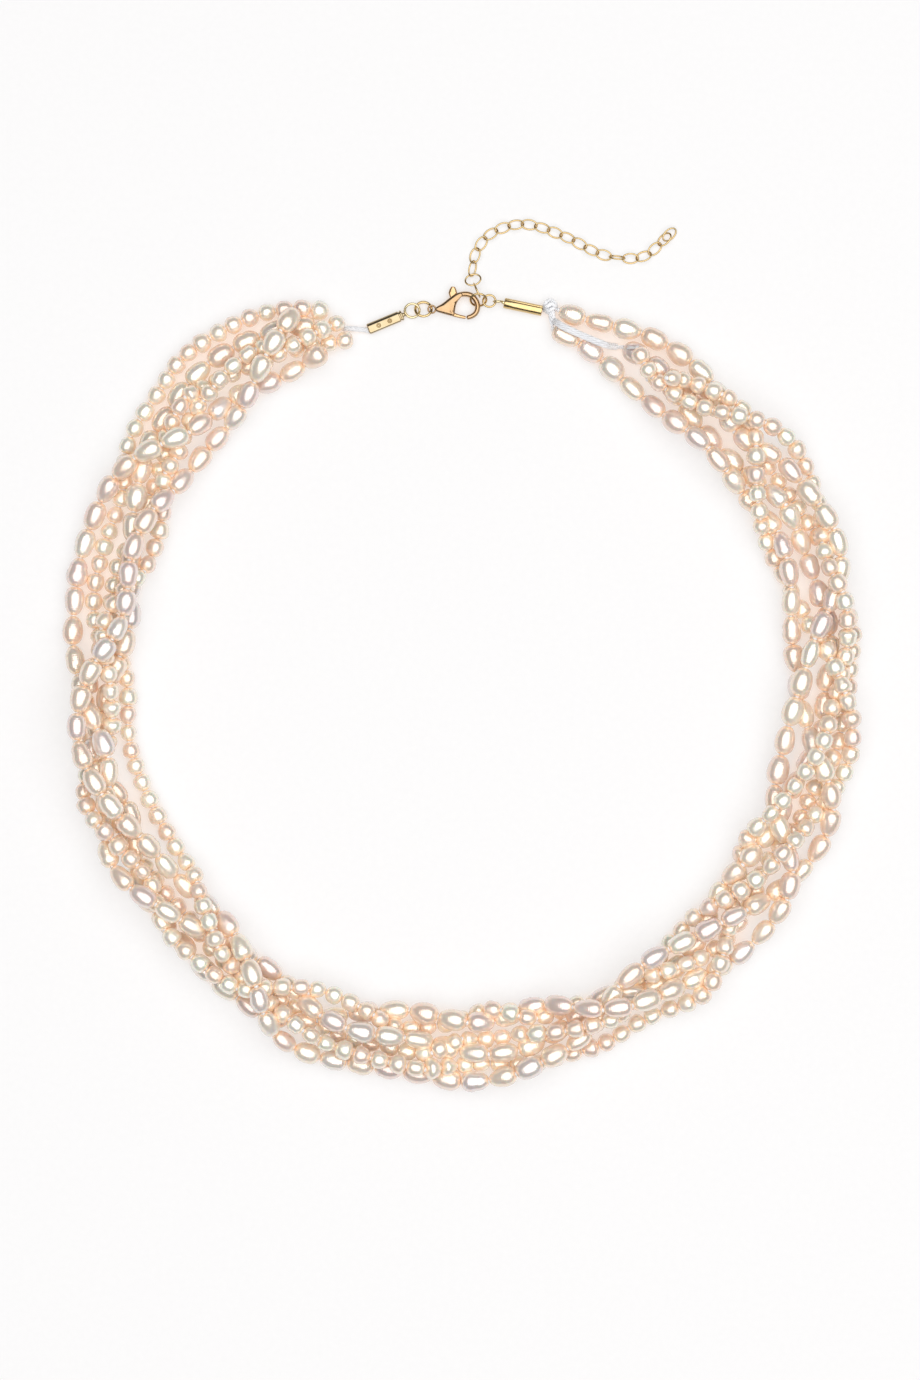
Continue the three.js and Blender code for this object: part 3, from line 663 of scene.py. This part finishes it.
CAD_WIRE_TOP = math.sin(math.radians(72))  # how high a CAD wire's five sides reach
WIRE_SIDES = 12
RING_STEPS = 48
RING_CUT = 0.02  # half of the fine cut where a jump ring is opened, in radians


def wire_ring(node, cut=0.0):
    """A smooth ring of round wire where a coarse CAD ring lies, with a fine cut if it has one."""
    corners = corners_of(node)
    middle = corners.mean(axis=0)
    axes = np.linalg.svd(corners - middle, full_matrices=False)[2]
    reach = np.abs((corners - middle) @ axes.T).max(axis=0)
    wire = reach[2] / CAD_WIRE_TOP
    long_half, wide_half = reach[:2] - wire
    turns = np.linspace(cut, 2 * math.pi - cut, RING_STEPS + 1)
    turns = turns if cut else turns[:-1]
    points = [
        middle + axes[0] * long_half * math.cos(a) + axes[1] * wide_half * math.sin(a)
        for a in turns
    ]
    normal = axes[2]
    rings = []
    for a, point in zip(turns, points):
        out = axes[0] * math.cos(a) * wide_half + axes[1] * math.sin(a) * long_half
        out /= np.linalg.norm(out)
        for s in range(WIRE_SIDES):
            b = 2 * math.pi * s / WIRE_SIDES
            rings.append(point + (out * math.cos(b) + normal * math.sin(b)) * wire)
    grid = (rings, grid_faces(len(turns), WIRE_SIDES, closed=not cut))
    if cut:
        close_ends(grid, WIRE_SIDES)
    finish_piece(make_object(f"{node}_wire", *grid), YELLOW_GOLD, node, node)


for node in ("jump_ring", "hook_ring", "side_ring"):
    wire_ring(node, cut=RING_CUT)
for node in sorted(n for n in frame["nodes"] if n.startswith("chain_link")):
    wire_ring(node)


# ---------------------------------------------------------------- clasp

# The clasp's own plan in millimetres: x runs from its eye to its hook, y to its thumb lever.
CLASP_HEART = [
    (0.55, 0.0), (0.9, 0.42), (2.0, 1.07), (3.3, 2.1), (4.46, 2.85), (5.35, 3.08), (5.75, 2.7),
    (5.35, 2.2), (4.85, 1.6), (4.45, 0.7), (4.25, -0.45), (4.08, -1.22), (3.3, -1.1),
    (2.2, -0.8), (0.95, -0.42),
]
CLASP_HOOK = [
    (4.7, 2.5), (5.4, 2.74), (6.2, 2.82), (7.05, 2.66), (7.75, 2.2), (8.25, 1.5), (8.48, 0.7),
    (8.42, -0.1), (8.1, -0.75), (7.55, -1.2), (6.95, -1.45), (6.42, -1.53),
]
LEVER_PATH = [
    (3.93, 4.2), (3.92, 4.05), (3.9, 3.5), (3.87, 2.9), (3.75, 1.8), (3.7, 0.6), (3.66, -0.35),
    (3.9, -0.85), (4.5, -1.13), (5.2, -1.32), (5.8, -1.45), (6.28, -1.54),
]
LEVER_HALF_WIDTHS = [0.3, 0.44, 0.7, 0.8, 0.3, 0.34, 0.5, 0.42, 0.34, 0.32, 0.31, 0.26]
LEVER_STEPS = 67
LEVER_THICKNESS = 0.27
THUMB_STEPS = 18  # how many of the lever's steps make up its thumb knob
THUMB_THICKNESS = ((0, 6, 13, 17), (0.16, 0.44, 0.4, 0.27))  # at these steps
LEVER_PIVOT = (3.6, -0.35)
HEART_STEPS = 72
HEART_MIDDLE = np.array((3.45, 0.55))
PLATE_INSIDE = 0.37  # the lever's slot ends this far from the clasp's middle plane
PLATE_OUTSIDE = 0.95
# From a plate's flat back over its rim to its dome's top: share of the outline, share of height.
DOME_PROFILE = [
    (0.0, 0.0), (0.5, 0.0), (1.0, 0.0), (1.0, 0.26), (0.985, 0.36), (0.95, 0.46), (0.9, 0.56),
    (0.82, 0.67), (0.7, 0.79), (0.55, 0.88), (0.4, 0.94), (0.2, 0.985), (0.0, 1.0),
]
SMALLEST_SHARE = 0.002
HOOK_RADII = ((0, 0.25, 0.8, 0.97, 1), (0.46, 0.52, 0.47, 0.42, 0.18))  # at shares of its length
HOOK_STEPS = 56
HOOK_HEIGHT = 1.25  # times its radius
EYE_RADIUS = 0.69
EYE_WIRE = 0.17
EYE_HEIGHT = 1.7  # times its wire's radius
NECK_REACHES = (0.66, 0.8, 1.0, 1.4)
NECK_RADII = np.array((0.24, 0.3, 0.4, 0.45))
ROOT_LINE = ((4.75, 1.9), (4.9, 2.3), (5.2, 2.65))  # joins the hook to the two plates
ROOT_HALF = (0.4, 0.5)
RIVET_HEIGHTS = (-0.92, -0.9, -0.84, -0.76, 0, 0.76, 0.84, 0.9, 0.92)
RIVET_RADII = np.array((0.12, 0.25, 0.31, 0.26, 0.26, 0.26, 0.31, 0.25, 0.12))
SPRING_ENDS = (np.array((1.2, 0.3, 0)), np.array((3.12, 0.8, 0)))
SPRING_TURNS = 9
SPRING_STEPS = 160
SPRING_RADIUS = 0.21
SPRING_WIRE = 0.045

clasp_pin = corners_of("clasp_pivot_pin")
pin_middle = (clasp_pin.max(axis=0) + clasp_pin.min(axis=0)) / 2
CLASP_AT = pin_middle - np.array((*LEVER_PIVOT, 0)) * MM


def clasp_place(x, y, z=0.0):
    """A place in the clasp's own plan, in the frame."""
    return CLASP_AT + np.array((x, y, z)) * MM


def domed_plate(outline, inside, outside):
    """A flat-backed plate whose bevelled rim rises to a gentle dome: (corners, faces)."""
    closed = np.array([*outline, outline[0]], float)
    ring = curve_through(closed, HEART_STEPS + 1)[:-1]
    rise = outside - inside
    corners = []
    for share, height in DOME_PROFILE:
        size = max(share, SMALLEST_SHARE)
        for x, y in HEART_MIDDLE + (ring - HEART_MIDDLE) * size:
            corners.append(clasp_place(x, y, inside + rise * height))
    plate = (corners, grid_faces(len(DOME_PROFILE), len(ring)))
    close_ends(plate, len(ring))
    return plate


def make_clasp_body():
    """Two domed plates, with the hook between them and the eye and its neck at their point."""
    plates = [
        domed_plate(CLASP_HEART, side * PLATE_INSIDE, side * PLATE_OUTSIDE) for side in (1, -1)
    ]
    hook = curve_through(CLASP_HOOK, HOOK_STEPS)
    wire = np.interp(np.linspace(0, 1, len(hook)), *HOOK_RADII)
    places = [clasp_place(x, y) for x, y in hook]
    tip = sweep(places, wire * MM, sides=20, heights=wire * HOOK_HEIGHT * MM)
    turns = once_round(RING_STEPS)
    ring = [clasp_place(EYE_RADIUS * math.cos(a), EYE_RADIUS * math.sin(a)) for a in turns]
    eye_height = EYE_WIRE * EYE_HEIGHT * MM
    eye = sweep(ring, EYE_WIRE * MM, sides=14, heights=eye_height, closed=True)
    neck = sweep([clasp_place(x, 0) for x in NECK_REACHES], NECK_RADII * MM, sides=16)
    root_line = [clasp_place(x, y) for x, y in ROOT_LINE]
    root = sweep(root_line, ROOT_HALF[0] * MM, sides=16, heights=ROOT_HALF[1] * MM)
    body = make_object("clasp_shell", *joined([*plates, tip, eye, neck, root]))
    finish_piece(body, ROSE_GOLD, "clasp", "clasp_body")


def make_lever():
    """The thumb lever: a flat knob outside the plates, and a thin gate that meets the hook."""
    path = curve_through(LEVER_PATH, LEVER_STEPS)
    stations = np.linspace(0, 1, len(LEVER_HALF_WIDTHS))
    widths = np.interp(np.linspace(0, 1, len(path)), stations, LEVER_HALF_WIDTHS)
    thickness = np.minimum(widths, LEVER_THICKNESS)
    thickness[:THUMB_STEPS] = np.interp(np.arange(THUMB_STEPS), *THUMB_THICKNESS)
    places = [clasp_place(x, y) for x, y in path]
    tube = sweep(places, widths * MM, sides=18, heights=thickness * MM)
    lever = make_object("clasp_gate", *tube)
    finish_piece(lever, PALE_ROSE_GOLD, "lever", "clasp_lever")


def make_rivet():
    """The pin that the lever turns on, with a low head at each end."""
    places = [clasp_place(*LEVER_PIVOT, z) for z in RIVET_HEIGHTS]
    rivet = make_object("clasp_rivet", *sweep(places, RIVET_RADII * MM, sides=24))
    finish_piece(rivet, ROSE_GOLD, "clasp", "clasp_pivot_pin")


def make_spring():
    """The coil between the plates, held by the clasp at one end and by the lever at the other."""
    first, last = SPRING_ENDS
    along = (last - first) / np.linalg.norm(last - first)
    across = np.array((-along[1], along[0], 0))
    coil = []
    for share in np.linspace(0, 1, SPRING_STEPS):
        turn = share * SPRING_TURNS * 2 * math.pi
        offset = across * math.cos(turn) + UP * math.sin(turn)
        coil.append(CLASP_AT + (first + (last - first) * share + offset * SPRING_RADIUS) * MM)
    spring = make_object("clasp_coil", *sweep(coil, SPRING_WIRE * MM, sides=8))
    finish_piece(spring, YELLOW_GOLD, node="clasp_spring")
    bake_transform(spring)


make_clasp_body()
make_lever()
make_rivet()
make_spring()


# ---------------------------------------------------------------- end caps

LEFT_CAP_LENGTH = 6.9 * MM
LEFT_CAP_HALF = (1.0 * MM, 0.8 * MM)
LEFT_CAP_ROUNDING = np.array((0.36, 0.30, 0.36, 0.36)) * MM
SECTION_STEP = 0.05 * MM  # from point to point along the flat sides of the section
CORNER_STEPS = 8
TOP_FACE_SHARE = 0.99  # what is higher than this share of the half height is the flat top
BEVEL_START = 0.42 * MM  # the edge on the chain's side is bevelled from here outwards
BEVEL_SLOPE = 0.65
LEFT_CAP_ANGLE = math.radians(22.5)
# Along the box: how large its section is, with a pressed groove before its end.
LEFT_CAP_SIZES = (
    (0, 0.01, 0.03, 0.9, 0.912, 0.94, 0.956, 0.985, 1.0),
    (0.85, 0.95, 1, 1, 0.8, 0.8, 0.97, 0.97, 0.8),
)
LEFT_CAP_STATIONS = [
    0, 0.01, 0.03, *np.linspace(0.04, 0.9, 110), 0.905, 0.912, 0.92, 0.93, 0.94, 0.948, 0.956,
    0.965, 0.985, 0.995, 1.0,
]
LEFT_LOOP_AT = np.array((-8.87, 70.35, 0.98)) * MM  # from the loop's centre
LEFT_LOOP_RADIUS = 1.35 * MM
LEFT_LOOP_WIRE = 0.235 * MM
LEFT_LOOP_STEPS = 64
LEFT_LOOP_TIP = math.radians(25)
LEFT_NECK_REACHES = np.array((-0.3, 0, 0.3, 0.55)) * MM  # past the end of the box
LEFT_NECK_RADII = np.array((0.5, 0.46, 0.36, 0.3)) * MM
DIMPLES = (0.3, 0.62)  # at these shares of the box's length
DIMPLE_RADIUS = 0.36 * MM
DIMPLE_SIDE = -0.12 * MM
DIMPLE_REACH = 1.15  # this and the next two are shares of the dimple's radius
DIMPLE_RING = 0.8
DIMPLE_GROOVE_WIDTH = 0.24
DIMPLE_GROOVE = 0.17 * MM
DIMPLE_FLOOR = 0.05 * MM
DIMPLE_DOME = 0.06 * MM
RIGHT_CAP_ANGLE = math.radians(-11.8)
RIGHT_CAP_LENGTH = 7.2 * MM
RIGHT_CAP_RADIUS = 0.98 * MM
SEAM_TURN = math.radians(52)  # where the tube's rolled seam runs
SEAM_DEPTH = 0.16
SEAM_WIDTH = 0.10
# Along the tube from its mouth, and then inside it: share of the length, share of the radius.
TUBE_PROFILE = [
    (-1.0, 0.25), (-1.0, 0.8), (-0.995, 0.93), (-0.98, 1.0), (-0.5, 1.0), (-0.02, 1.0),
    (-0.005, 0.97), (0.0, 0.9), (0.0, 0.72), (-0.01, 0.66), (-0.3, 0.66), (-0.7, 0.64),
    (-0.71, 0.02),
]
TUBE_SIDES = 72
TUBE_SKIN = 0.7  # the seam shows only on what is wider than this share
RIGHT_EYE_X = 7.02 * MM  # from the loop's centre
RIGHT_EYE_HEIGHT = 1.2 * MM
RIGHT_EYE_RADIUS = 0.78 * MM
RIGHT_EYE_WIRE = 0.2 * MM
STEM_SINK = 0.4 * MM
STEM_RADII = np.array((0.24, 0.3, 0.34, 0.36, 0.38, 0.4)) * MM
END_SLICE = 0.2 * MM  # corners this close to a cap's end belong to its end face


def rounded_section(half_width, half_height, radii, step):
    """A rectangle's outline with four rounded corners and evenly spaced points on its sides."""
    points = []
    signs = ((1, -1), (1, 1), (-1, 1), (-1, -1))
    inner = [
        np.array(sign) * (half_width - radius, half_height - radius)
        for sign, radius in zip(signs, radii)
    ]
    for k, radius in enumerate(radii):
        for turn in np.radians(np.linspace(-90, 0, CORNER_STEPS) + 90 * k):
            lean = np.array((math.cos(turn), math.sin(turn)))
            points.append(inner[k] + lean * radius)
        corner_end = points[-1]
        following = inner[(k + 1) % 4] + lean * radii[(k + 1) % 4]
        count = round(float(np.linalg.norm(following - corner_end)) / step)
        for share in np.linspace(0, 1, count + 1)[1:-1]:
            points.append(corner_end * (1 - share) + following * share)
    return np.array(points)


def dimple_depth(forward, sideways):
    """How far a punched dimple sinks the cap's face: a groove round a lower, domed middle."""
    away = math.hypot(forward, sideways) / DIMPLE_RADIUS
    if away > DIMPLE_REACH:
        return 0.0
    dome = DIMPLE_DOME * (1 - min(away, 1.0) ** 2)
    groove = DIMPLE_GROOVE * math.exp(-(((away - DIMPLE_RING) / DIMPLE_GROOVE_WIDTH) ** 2))
    return groove + DIMPLE_FLOOR * (away < DIMPLE_RING) - dome


def cap_axes(angle):
    """Unit vectors along, across and up from a cap that lies at an angle in plan."""
    along = np.array((math.cos(angle), math.sin(angle), 0))
    return along, np.array((-along[1], along[0], 0)), UP


def make_left_cap():
    """A squared tube with a bevelled edge, two pressed dimples and a soldered loop."""
    corners = corners_of("left_cap")
    along, across, up = cap_axes(LEFT_CAP_ANGLE)
    start_reach = (corners @ along).min()
    box = corners[corners @ along < start_reach + END_SLICE]
    start = along * start_reach + across * (box @ across).mean() + up * LEFT_CAP_HALF[1]

    section = rounded_section(*LEFT_CAP_HALF, LEFT_CAP_ROUNDING, SECTION_STEP)
    drop = BEVEL_SLOPE * np.clip(section[:, 0] - BEVEL_START, 0, None) / LEFT_CAP_HALF[1]
    section[:, 1] *= np.where(section[:, 1] > 0, 1 - drop, 1)
    made = []
    for share in LEFT_CAP_STATIONS:
        size = np.interp(share, *LEFT_CAP_SIZES)
        centre = start + along * share * LEFT_CAP_LENGTH
        for u, v in section * size:
            if v > LEFT_CAP_HALF[1] * TOP_FACE_SHARE:
                reaches = [(share - at) * LEFT_CAP_LENGTH for at in DIMPLES]
                v -= sum(dimple_depth(reach, u - DIMPLE_SIDE) for reach in reaches)
            made.append(centre + across * u + up * v)
    box_mesh = (made, grid_faces(len(LEFT_CAP_STATIONS), len(section)))
    close_ends(box_mesh, len(section))
    neck = [start + along * (LEFT_CAP_LENGTH + reach) for reach in LEFT_NECK_REACHES]
    neck_mesh = sweep(neck, LEFT_NECK_RADII, sides=16)
    cap = make_object("left_cap_box", *joined([box_mesh, neck_mesh]))
    finish_piece(cap, CAP_GOLD, "back_left", "left_cap")

    across_loop = np.array((math.cos(LEFT_LOOP_TIP), math.sin(LEFT_LOOP_TIP)))
    ring = []
    for turn in once_round(LEFT_LOOP_STEPS):
        sideways, rise = across_loop * math.sin(turn)
        lean = np.array((math.cos(turn), sideways, rise))
        ring.append(np.array(CENTRE) + LEFT_LOOP_AT + lean * LEFT_LOOP_RADIUS)
    loop = make_object("left_cap_loop", *sweep(ring, LEFT_LOOP_WIRE, sides=16, closed=True))
    finish_piece(loop, PALE_GOLD, "back_left", "left_cap")


def make_right_cap():
    """A round tube with a rolled seam, open towards the pearls, and an eye on its closed end."""
    corners = corners_of("right_cap")
    along, across, up = cap_axes(RIGHT_CAP_ANGLE)
    end_reach = (corners @ along).max()
    mouth = corners[corners @ along > end_reach - END_SLICE]
    end = along * end_reach + across * (mouth @ across).mean() + up * RIGHT_CAP_RADIUS

    turns = once_round(TUBE_SIDES)
    away = np.abs((turns - SEAM_TURN + math.pi) % (2 * math.pi) - math.pi)
    groove = SEAM_DEPTH * np.exp(-((away / SEAM_WIDTH) ** 2))
    made = []
    for share, size in TUBE_PROFILE:
        centre = end + along * share * RIGHT_CAP_LENGTH
        for turn, dent in zip(turns, groove):
            radius = RIGHT_CAP_RADIUS * size * (1 - (dent if size > TUBE_SKIN else 0))
            made.append(centre + (across * math.cos(turn) + up * math.sin(turn)) * radius)
    tube_mesh = (made, grid_faces(len(TUBE_PROFILE), len(turns)))
    close_ends(tube_mesh, len(turns))
    tube = make_object("right_cap_tube", *tube_mesh)
    finish_piece(tube, YELLOW_GOLD, "back_right", "right_cap")

    eye_at = end + along * ((CENTRE.x + RIGHT_EYE_X - end[0]) / along[0])
    eye_at[2] = RIGHT_EYE_HEIGHT
    ring = [
        eye_at + np.array((math.cos(turn), 0, math.sin(turn))) * RIGHT_EYE_RADIUS
        for turn in once_round(RING_STEPS)
    ]
    start = end - along * RIGHT_CAP_LENGTH
    stem_ends = (eye_at + along * RIGHT_EYE_RADIUS, start + along * STEM_SINK)
    stem = sweep(np.linspace(*stem_ends, len(STEM_RADII)), STEM_RADII, sides=16)
    eye = make_object("right_cap_eye", *joined([upright_ring(ring, RIGHT_EYE_WIRE), stem]))
    finish_piece(eye, PALE_GOLD, "back_right", "right_cap")


def upright_ring(ring, wire):
    """A closed wire through the places of a ring that stands on edge."""
    ring = np.asarray(ring)
    middle = ring.mean(axis=0)
    tangents = np.roll(ring, -1, axis=0) - np.roll(ring, 1, axis=0)
    made = []
    for point, tangent in zip(ring, tangents):
        out = (point - middle) / np.linalg.norm(point - middle)
        side = np.cross(tangent / np.linalg.norm(tangent), out)
        for turn in once_round(WIRE_SIDES):
            made.append(point + (out * math.cos(turn) + side * math.sin(turn)) * wire)
    return made, grid_faces(len(ring), WIRE_SIDES, closed=True)


make_left_cap()
make_right_cap()


# ---------------------------------------------------------------- silk

STRAND_HEIGHT = 0.7  # a twisted bundle is this much lower than it is wide
LEFT_SILK = {"strands": 5, "reach": 0.3 * MM, "wire": 0.2 * MM, "turns": 1.2}
RIGHT_SILK = {"strands": 7, "reach": 0.47 * MM, "wire": 0.19 * MM, "turns": 2.3}
KNOT_LEAD_SILK = {"strands": 3, "reach": 0.16 * MM, "wire": 0.17 * MM, "turns": 0.6}
NEAR_LEAD_SILK = {"strands": 2, "reach": 0.14 * MM, "wire": 0.15 * MM, "turns": 0.8}
FAR_LEAD_SILK = {"strands": 2, "reach": 0.2 * MM, "wire": 0.2 * MM, "turns": 0.8}
LEFT_SLICES, RIGHT_SLICES = 5, 14  # how many slices of the CAD threads are measured
LEFT_STEPS, RIGHT_STEPS, LEAD_STEPS, KNOT_LEAD_STEPS = 36, 90, 24, 12
INTO_PEARLS, INTO_CAP = 6, 8  # how many steps the left silk runs on past its CAD ends

KNOT_INSET = 1.25 * MM  # from the end of the CAD knot to the knot's middle
KNOT_AT = {"y": 71.05 * MM, "z": 1.3 * MM}  # from the loop's centre
KNOT_LOOPS = ((0.2, 1.12), (1.3, 1.0), (2.3, 0.95), (-0.7, 0.8))  # (lean, radius in mm)
KNOT_WIDTH = 0.95
KNOT_LOOP_STEPS = 40
KNOT_WAVES = 3
KNOT_WAVE = 0.22
KNOT_WIRE = 0.4 * MM
KNOT_LEAD = np.array(((-1.35, -0.72, -0.5), (-0.9, -0.5, -0.3), (0, 0, 0))) * MM
TAIL_START = np.array((0.1, -0.7, 0.2)) * MM  # from the knot's middle
LEAD_OVERLAP = 6  # the far leads start this many steps before the bundle's end
NEAR_LEAD_BOW = np.array((-0.3, 0.1, 0.1)) * MM
FAR_LEAD_BOW = np.array((0, 0, -0.2)) * MM


def twisted(points, strands, reach, wire, turns, sides=8):
    """Several fine strands laid in a twist along a path: a list of (corners, faces)."""
    points = np.asarray(points)
    tangents = np.gradient(points, axis=0)
    tangents /= np.linalg.norm(tangents, axis=1)[:, None]
    parts = []
    for strand in range(strands):
        made = []
        for i, (point, tangent) in enumerate(zip(points, tangents)):
            share = i / (len(points) - 1)
            side, top = side_and_top(tangent)
            turn = 2 * math.pi * (strand / strands + turns * share)
            lift = top * math.sin(turn) * STRAND_HEIGHT
            made.append(point + (side * math.cos(turn) + lift) * reach)
        parts.append(sweep(made, wire, sides))
    return parts


def centre_line(node, count):
    """A tube's middle line, for a tube that runs along +X, as the means of slices of it."""
    corners = corners_of(node)
    order = corners[np.argsort(corners[:, 0])]
    slices = np.array_split(order, count)
    return np.array([part.mean(axis=0) for part in slices])


def make_left_silk():
    """The bare strands between the left cap and the first pearls."""
    line = curve_through(centre_line("left_thread", LEFT_SLICES), LEFT_STEPS)
    before = line[0] - (line[1] - line[0]) * INTO_PEARLS
    after = line[-1] + (line[-1] - line[-2]) * INTO_CAP
    parts = twisted(np.vstack([before, line, after]), **LEFT_SILK)
    strands = make_object("left_silk", *joined(parts))
    finish_piece(strands, SILK, "back_left", "left_thread")


def knot_loop(knot_at, lean, radius, phase):
    """One closed loop of the knot, leaning round the X axis."""
    ring = []
    for turn in once_round(KNOT_LOOP_STEPS):
        x, y = math.cos(turn) * KNOT_WIDTH, math.sin(turn)
        z = KNOT_WAVE * math.sin(KNOT_WAVES * turn + phase)
        tipped = np.array((
            x,
            y * math.cos(lean) - z * math.sin(lean),
            y * math.sin(lean) + z * math.cos(lean),
        ))
        ring.append(knot_at + tipped * radius)
    return upright_ring(ring, KNOT_WIRE)


def make_knot():
    """The knot behind the right cap, with its lead into the tube; gives the knot's middle."""
    knot_at = np.array((
        corners_of("thread_knot")[:, 0].max() - KNOT_INSET,
        CENTRE.y + KNOT_AT["y"],
        KNOT_AT["z"],
    ))
    parts = [
        knot_loop(knot_at, lean, radius * MM, phase)
        for phase, (lean, radius) in enumerate(KNOT_LOOPS)
    ]
    lead = curve_through(knot_at + KNOT_LEAD, KNOT_LEAD_STEPS)
    parts.extend(twisted(lead, **KNOT_LEAD_SILK))
    knot = make_object("knot_silk", *joined(parts))
    finish_piece(knot, SILK, "back_right", "thread_knot")
    return knot_at


def make_right_silk(knot_at):
    """The bundle from the knot to where two strands begin further along; gives its path."""
    tail = centre_line("right_thread", RIGHT_SLICES)
    path = curve_through(np.vstack([knot_at + TAIL_START, tail[1:]]), RIGHT_STEPS)
    silk = make_object("right_silk", *joined(twisted(path, **RIGHT_SILK)))
    finish_piece(silk, SILK, "back_right", "right_thread")
    return path


def make_leads(knot_at, path):
    """The thin silk from the knot, and from the bundle's end, to each strand's first pearl."""
    parts = []
    for strand in ("rice_a", "rice_b"):
        first = PEARLS[strand][0][0]
        line = [knot_at, (knot_at + first) / 2 + NEAR_LEAD_BOW, first]
        parts.extend(twisted(curve_through(line, LEAD_STEPS), **NEAR_LEAD_SILK))
    for strand in ("rice_c", "small_b"):
        first = PEARLS[strand][0][0]
        line = [path[-LEAD_OVERLAP], path[-1], (path[-1] + first) / 2 + FAR_LEAD_BOW, first]
        parts.extend(twisted(curve_through(line, LEAD_STEPS), **FAR_LEAD_SILK))
    leads = make_object("lead_silk", *joined(parts))
    finish_piece(leads, SILK, "back_right", "thread_knot")


make_left_silk()
knot_middle = make_knot()
make_leads(knot_middle, make_right_silk(knot_middle))


# ---------------------------------------------------------------- studio

TABLE_HALF = 1.5
TABLE_DROP = 0.02 * MM  # keeps the table just under what lies on it
COVER_REACH = 5 * MM
SOFTBOX_AT = (0.1, -0.02, 1.0)
SOFTBOX_SIZE = 1.95
SOFTBOX_POWER = 19
ROOM_COLOUR = (0.92, 0.95, 1.0, 1)
ROOM_STRENGTH = 0.14
CAMERA_HEIGHT = 0.9
PEARL_HEIGHT = 3 * MM  # the picture's height is measured at this level
PICTURE_HEIGHT = 255.3 * MM
SENSOR = 36  # in millimetres, as cameras count it

GRAIN_SCALE = 900
TABLE_GREYS = ((0.34, 0.335, 0.335), (0.37, 0.365, 0.365))
# Painted warm bounce light and lifted shade on the table where pearls cover it.
PAINTED_BOUNCE_TINT = (0.42, 0.34, 0.28)
OPEN_GLOW, PAINTED_BOUNCE_GLOW = (1.0, 0.99, 0.985), (1.0, 0.86, 0.76)
# The glow under the pearls is raised as painted light.
GLOW_STRENGTHS = (0.56, 0.60)  # in the open, and where pearls cover the table


def table_material():
    """A white light table, with painted warm bounce light and lifted shade where pearls cover it."""
    n = Nodes("table_white")
    grain = n.noise(GRAIN_SCALE, detail=3)
    white = n.mix(grain, *TABLE_GREYS)
    # Painted light: occlusion by the pearls warms and brightens the table under them.
    open_sky = n.add("AmbientOcclusion", Distance=COVER_REACH).outputs["AO"]
    covered = n.range(open_sky, 1.0, 0.0, 0.15, 0.62)
    n.set(
        Base_Color=n.mix(covered, white, PAINTED_BOUNCE_TINT),
        Roughness=0.6,
        Emission_Color=n.mix(covered, OPEN_GLOW, PAINTED_BOUNCE_GLOW),
        Emission_Strength=n.range(covered, *GLOW_STRENGTHS),
    )
    return n.material


def make_floor():
    """The table top, far wider than the picture."""
    low, high = -TABLE_HALF, TABLE_HALF
    corners = [(low, low, 0), (high, low, 0), (high, high, 0), (low, high, 0)]
    floor = make_object("table_top", corners, [(0, 1, 2, 3)], closed=False)
    floor.location.z = -TABLE_DROP
    floor.data.materials.append(table_material())


def make_softbox():
    """A big round light overhead that faces the origin."""
    data = bpy.data.lights.new("softbox", "AREA")
    data.shape = "DISK"
    data.size = SOFTBOX_SIZE
    data.energy = SOFTBOX_POWER
    lamp = add_object("softbox", data)
    lamp.location = SOFTBOX_AT
    lamp.rotation_euler = (-Vector(SOFTBOX_AT)).to_track_quat("-Z", "Y").to_euler()


def make_studio():
    """The light table, one softbox and a dim, slightly blue room."""
    make_floor()
    make_softbox()
    world = bpy.data.worlds.new("studio")
    world.use_nodes = True
    background = world.node_tree.nodes["Background"]
    background.inputs["Color"].default_value = ROOM_COLOUR
    background.inputs["Strength"].default_value = ROOM_STRENGTH
    scene.world = world
    scene.view_settings.view_transform = "Standard"


def make_camera():
    """Straight above the loop's middle."""
    data = bpy.data.cameras.new("camera")
    camera = add_object("camera", data)
    data.sensor_width = SENSOR
    data.lens = SENSOR * (CAMERA_HEIGHT - PEARL_HEIGHT) / PICTURE_HEIGHT
    camera.location = (CENTRE.x, CENTRE.y, CAMERA_HEIGHT)
    scene.camera = camera


make_studio()
make_camera()
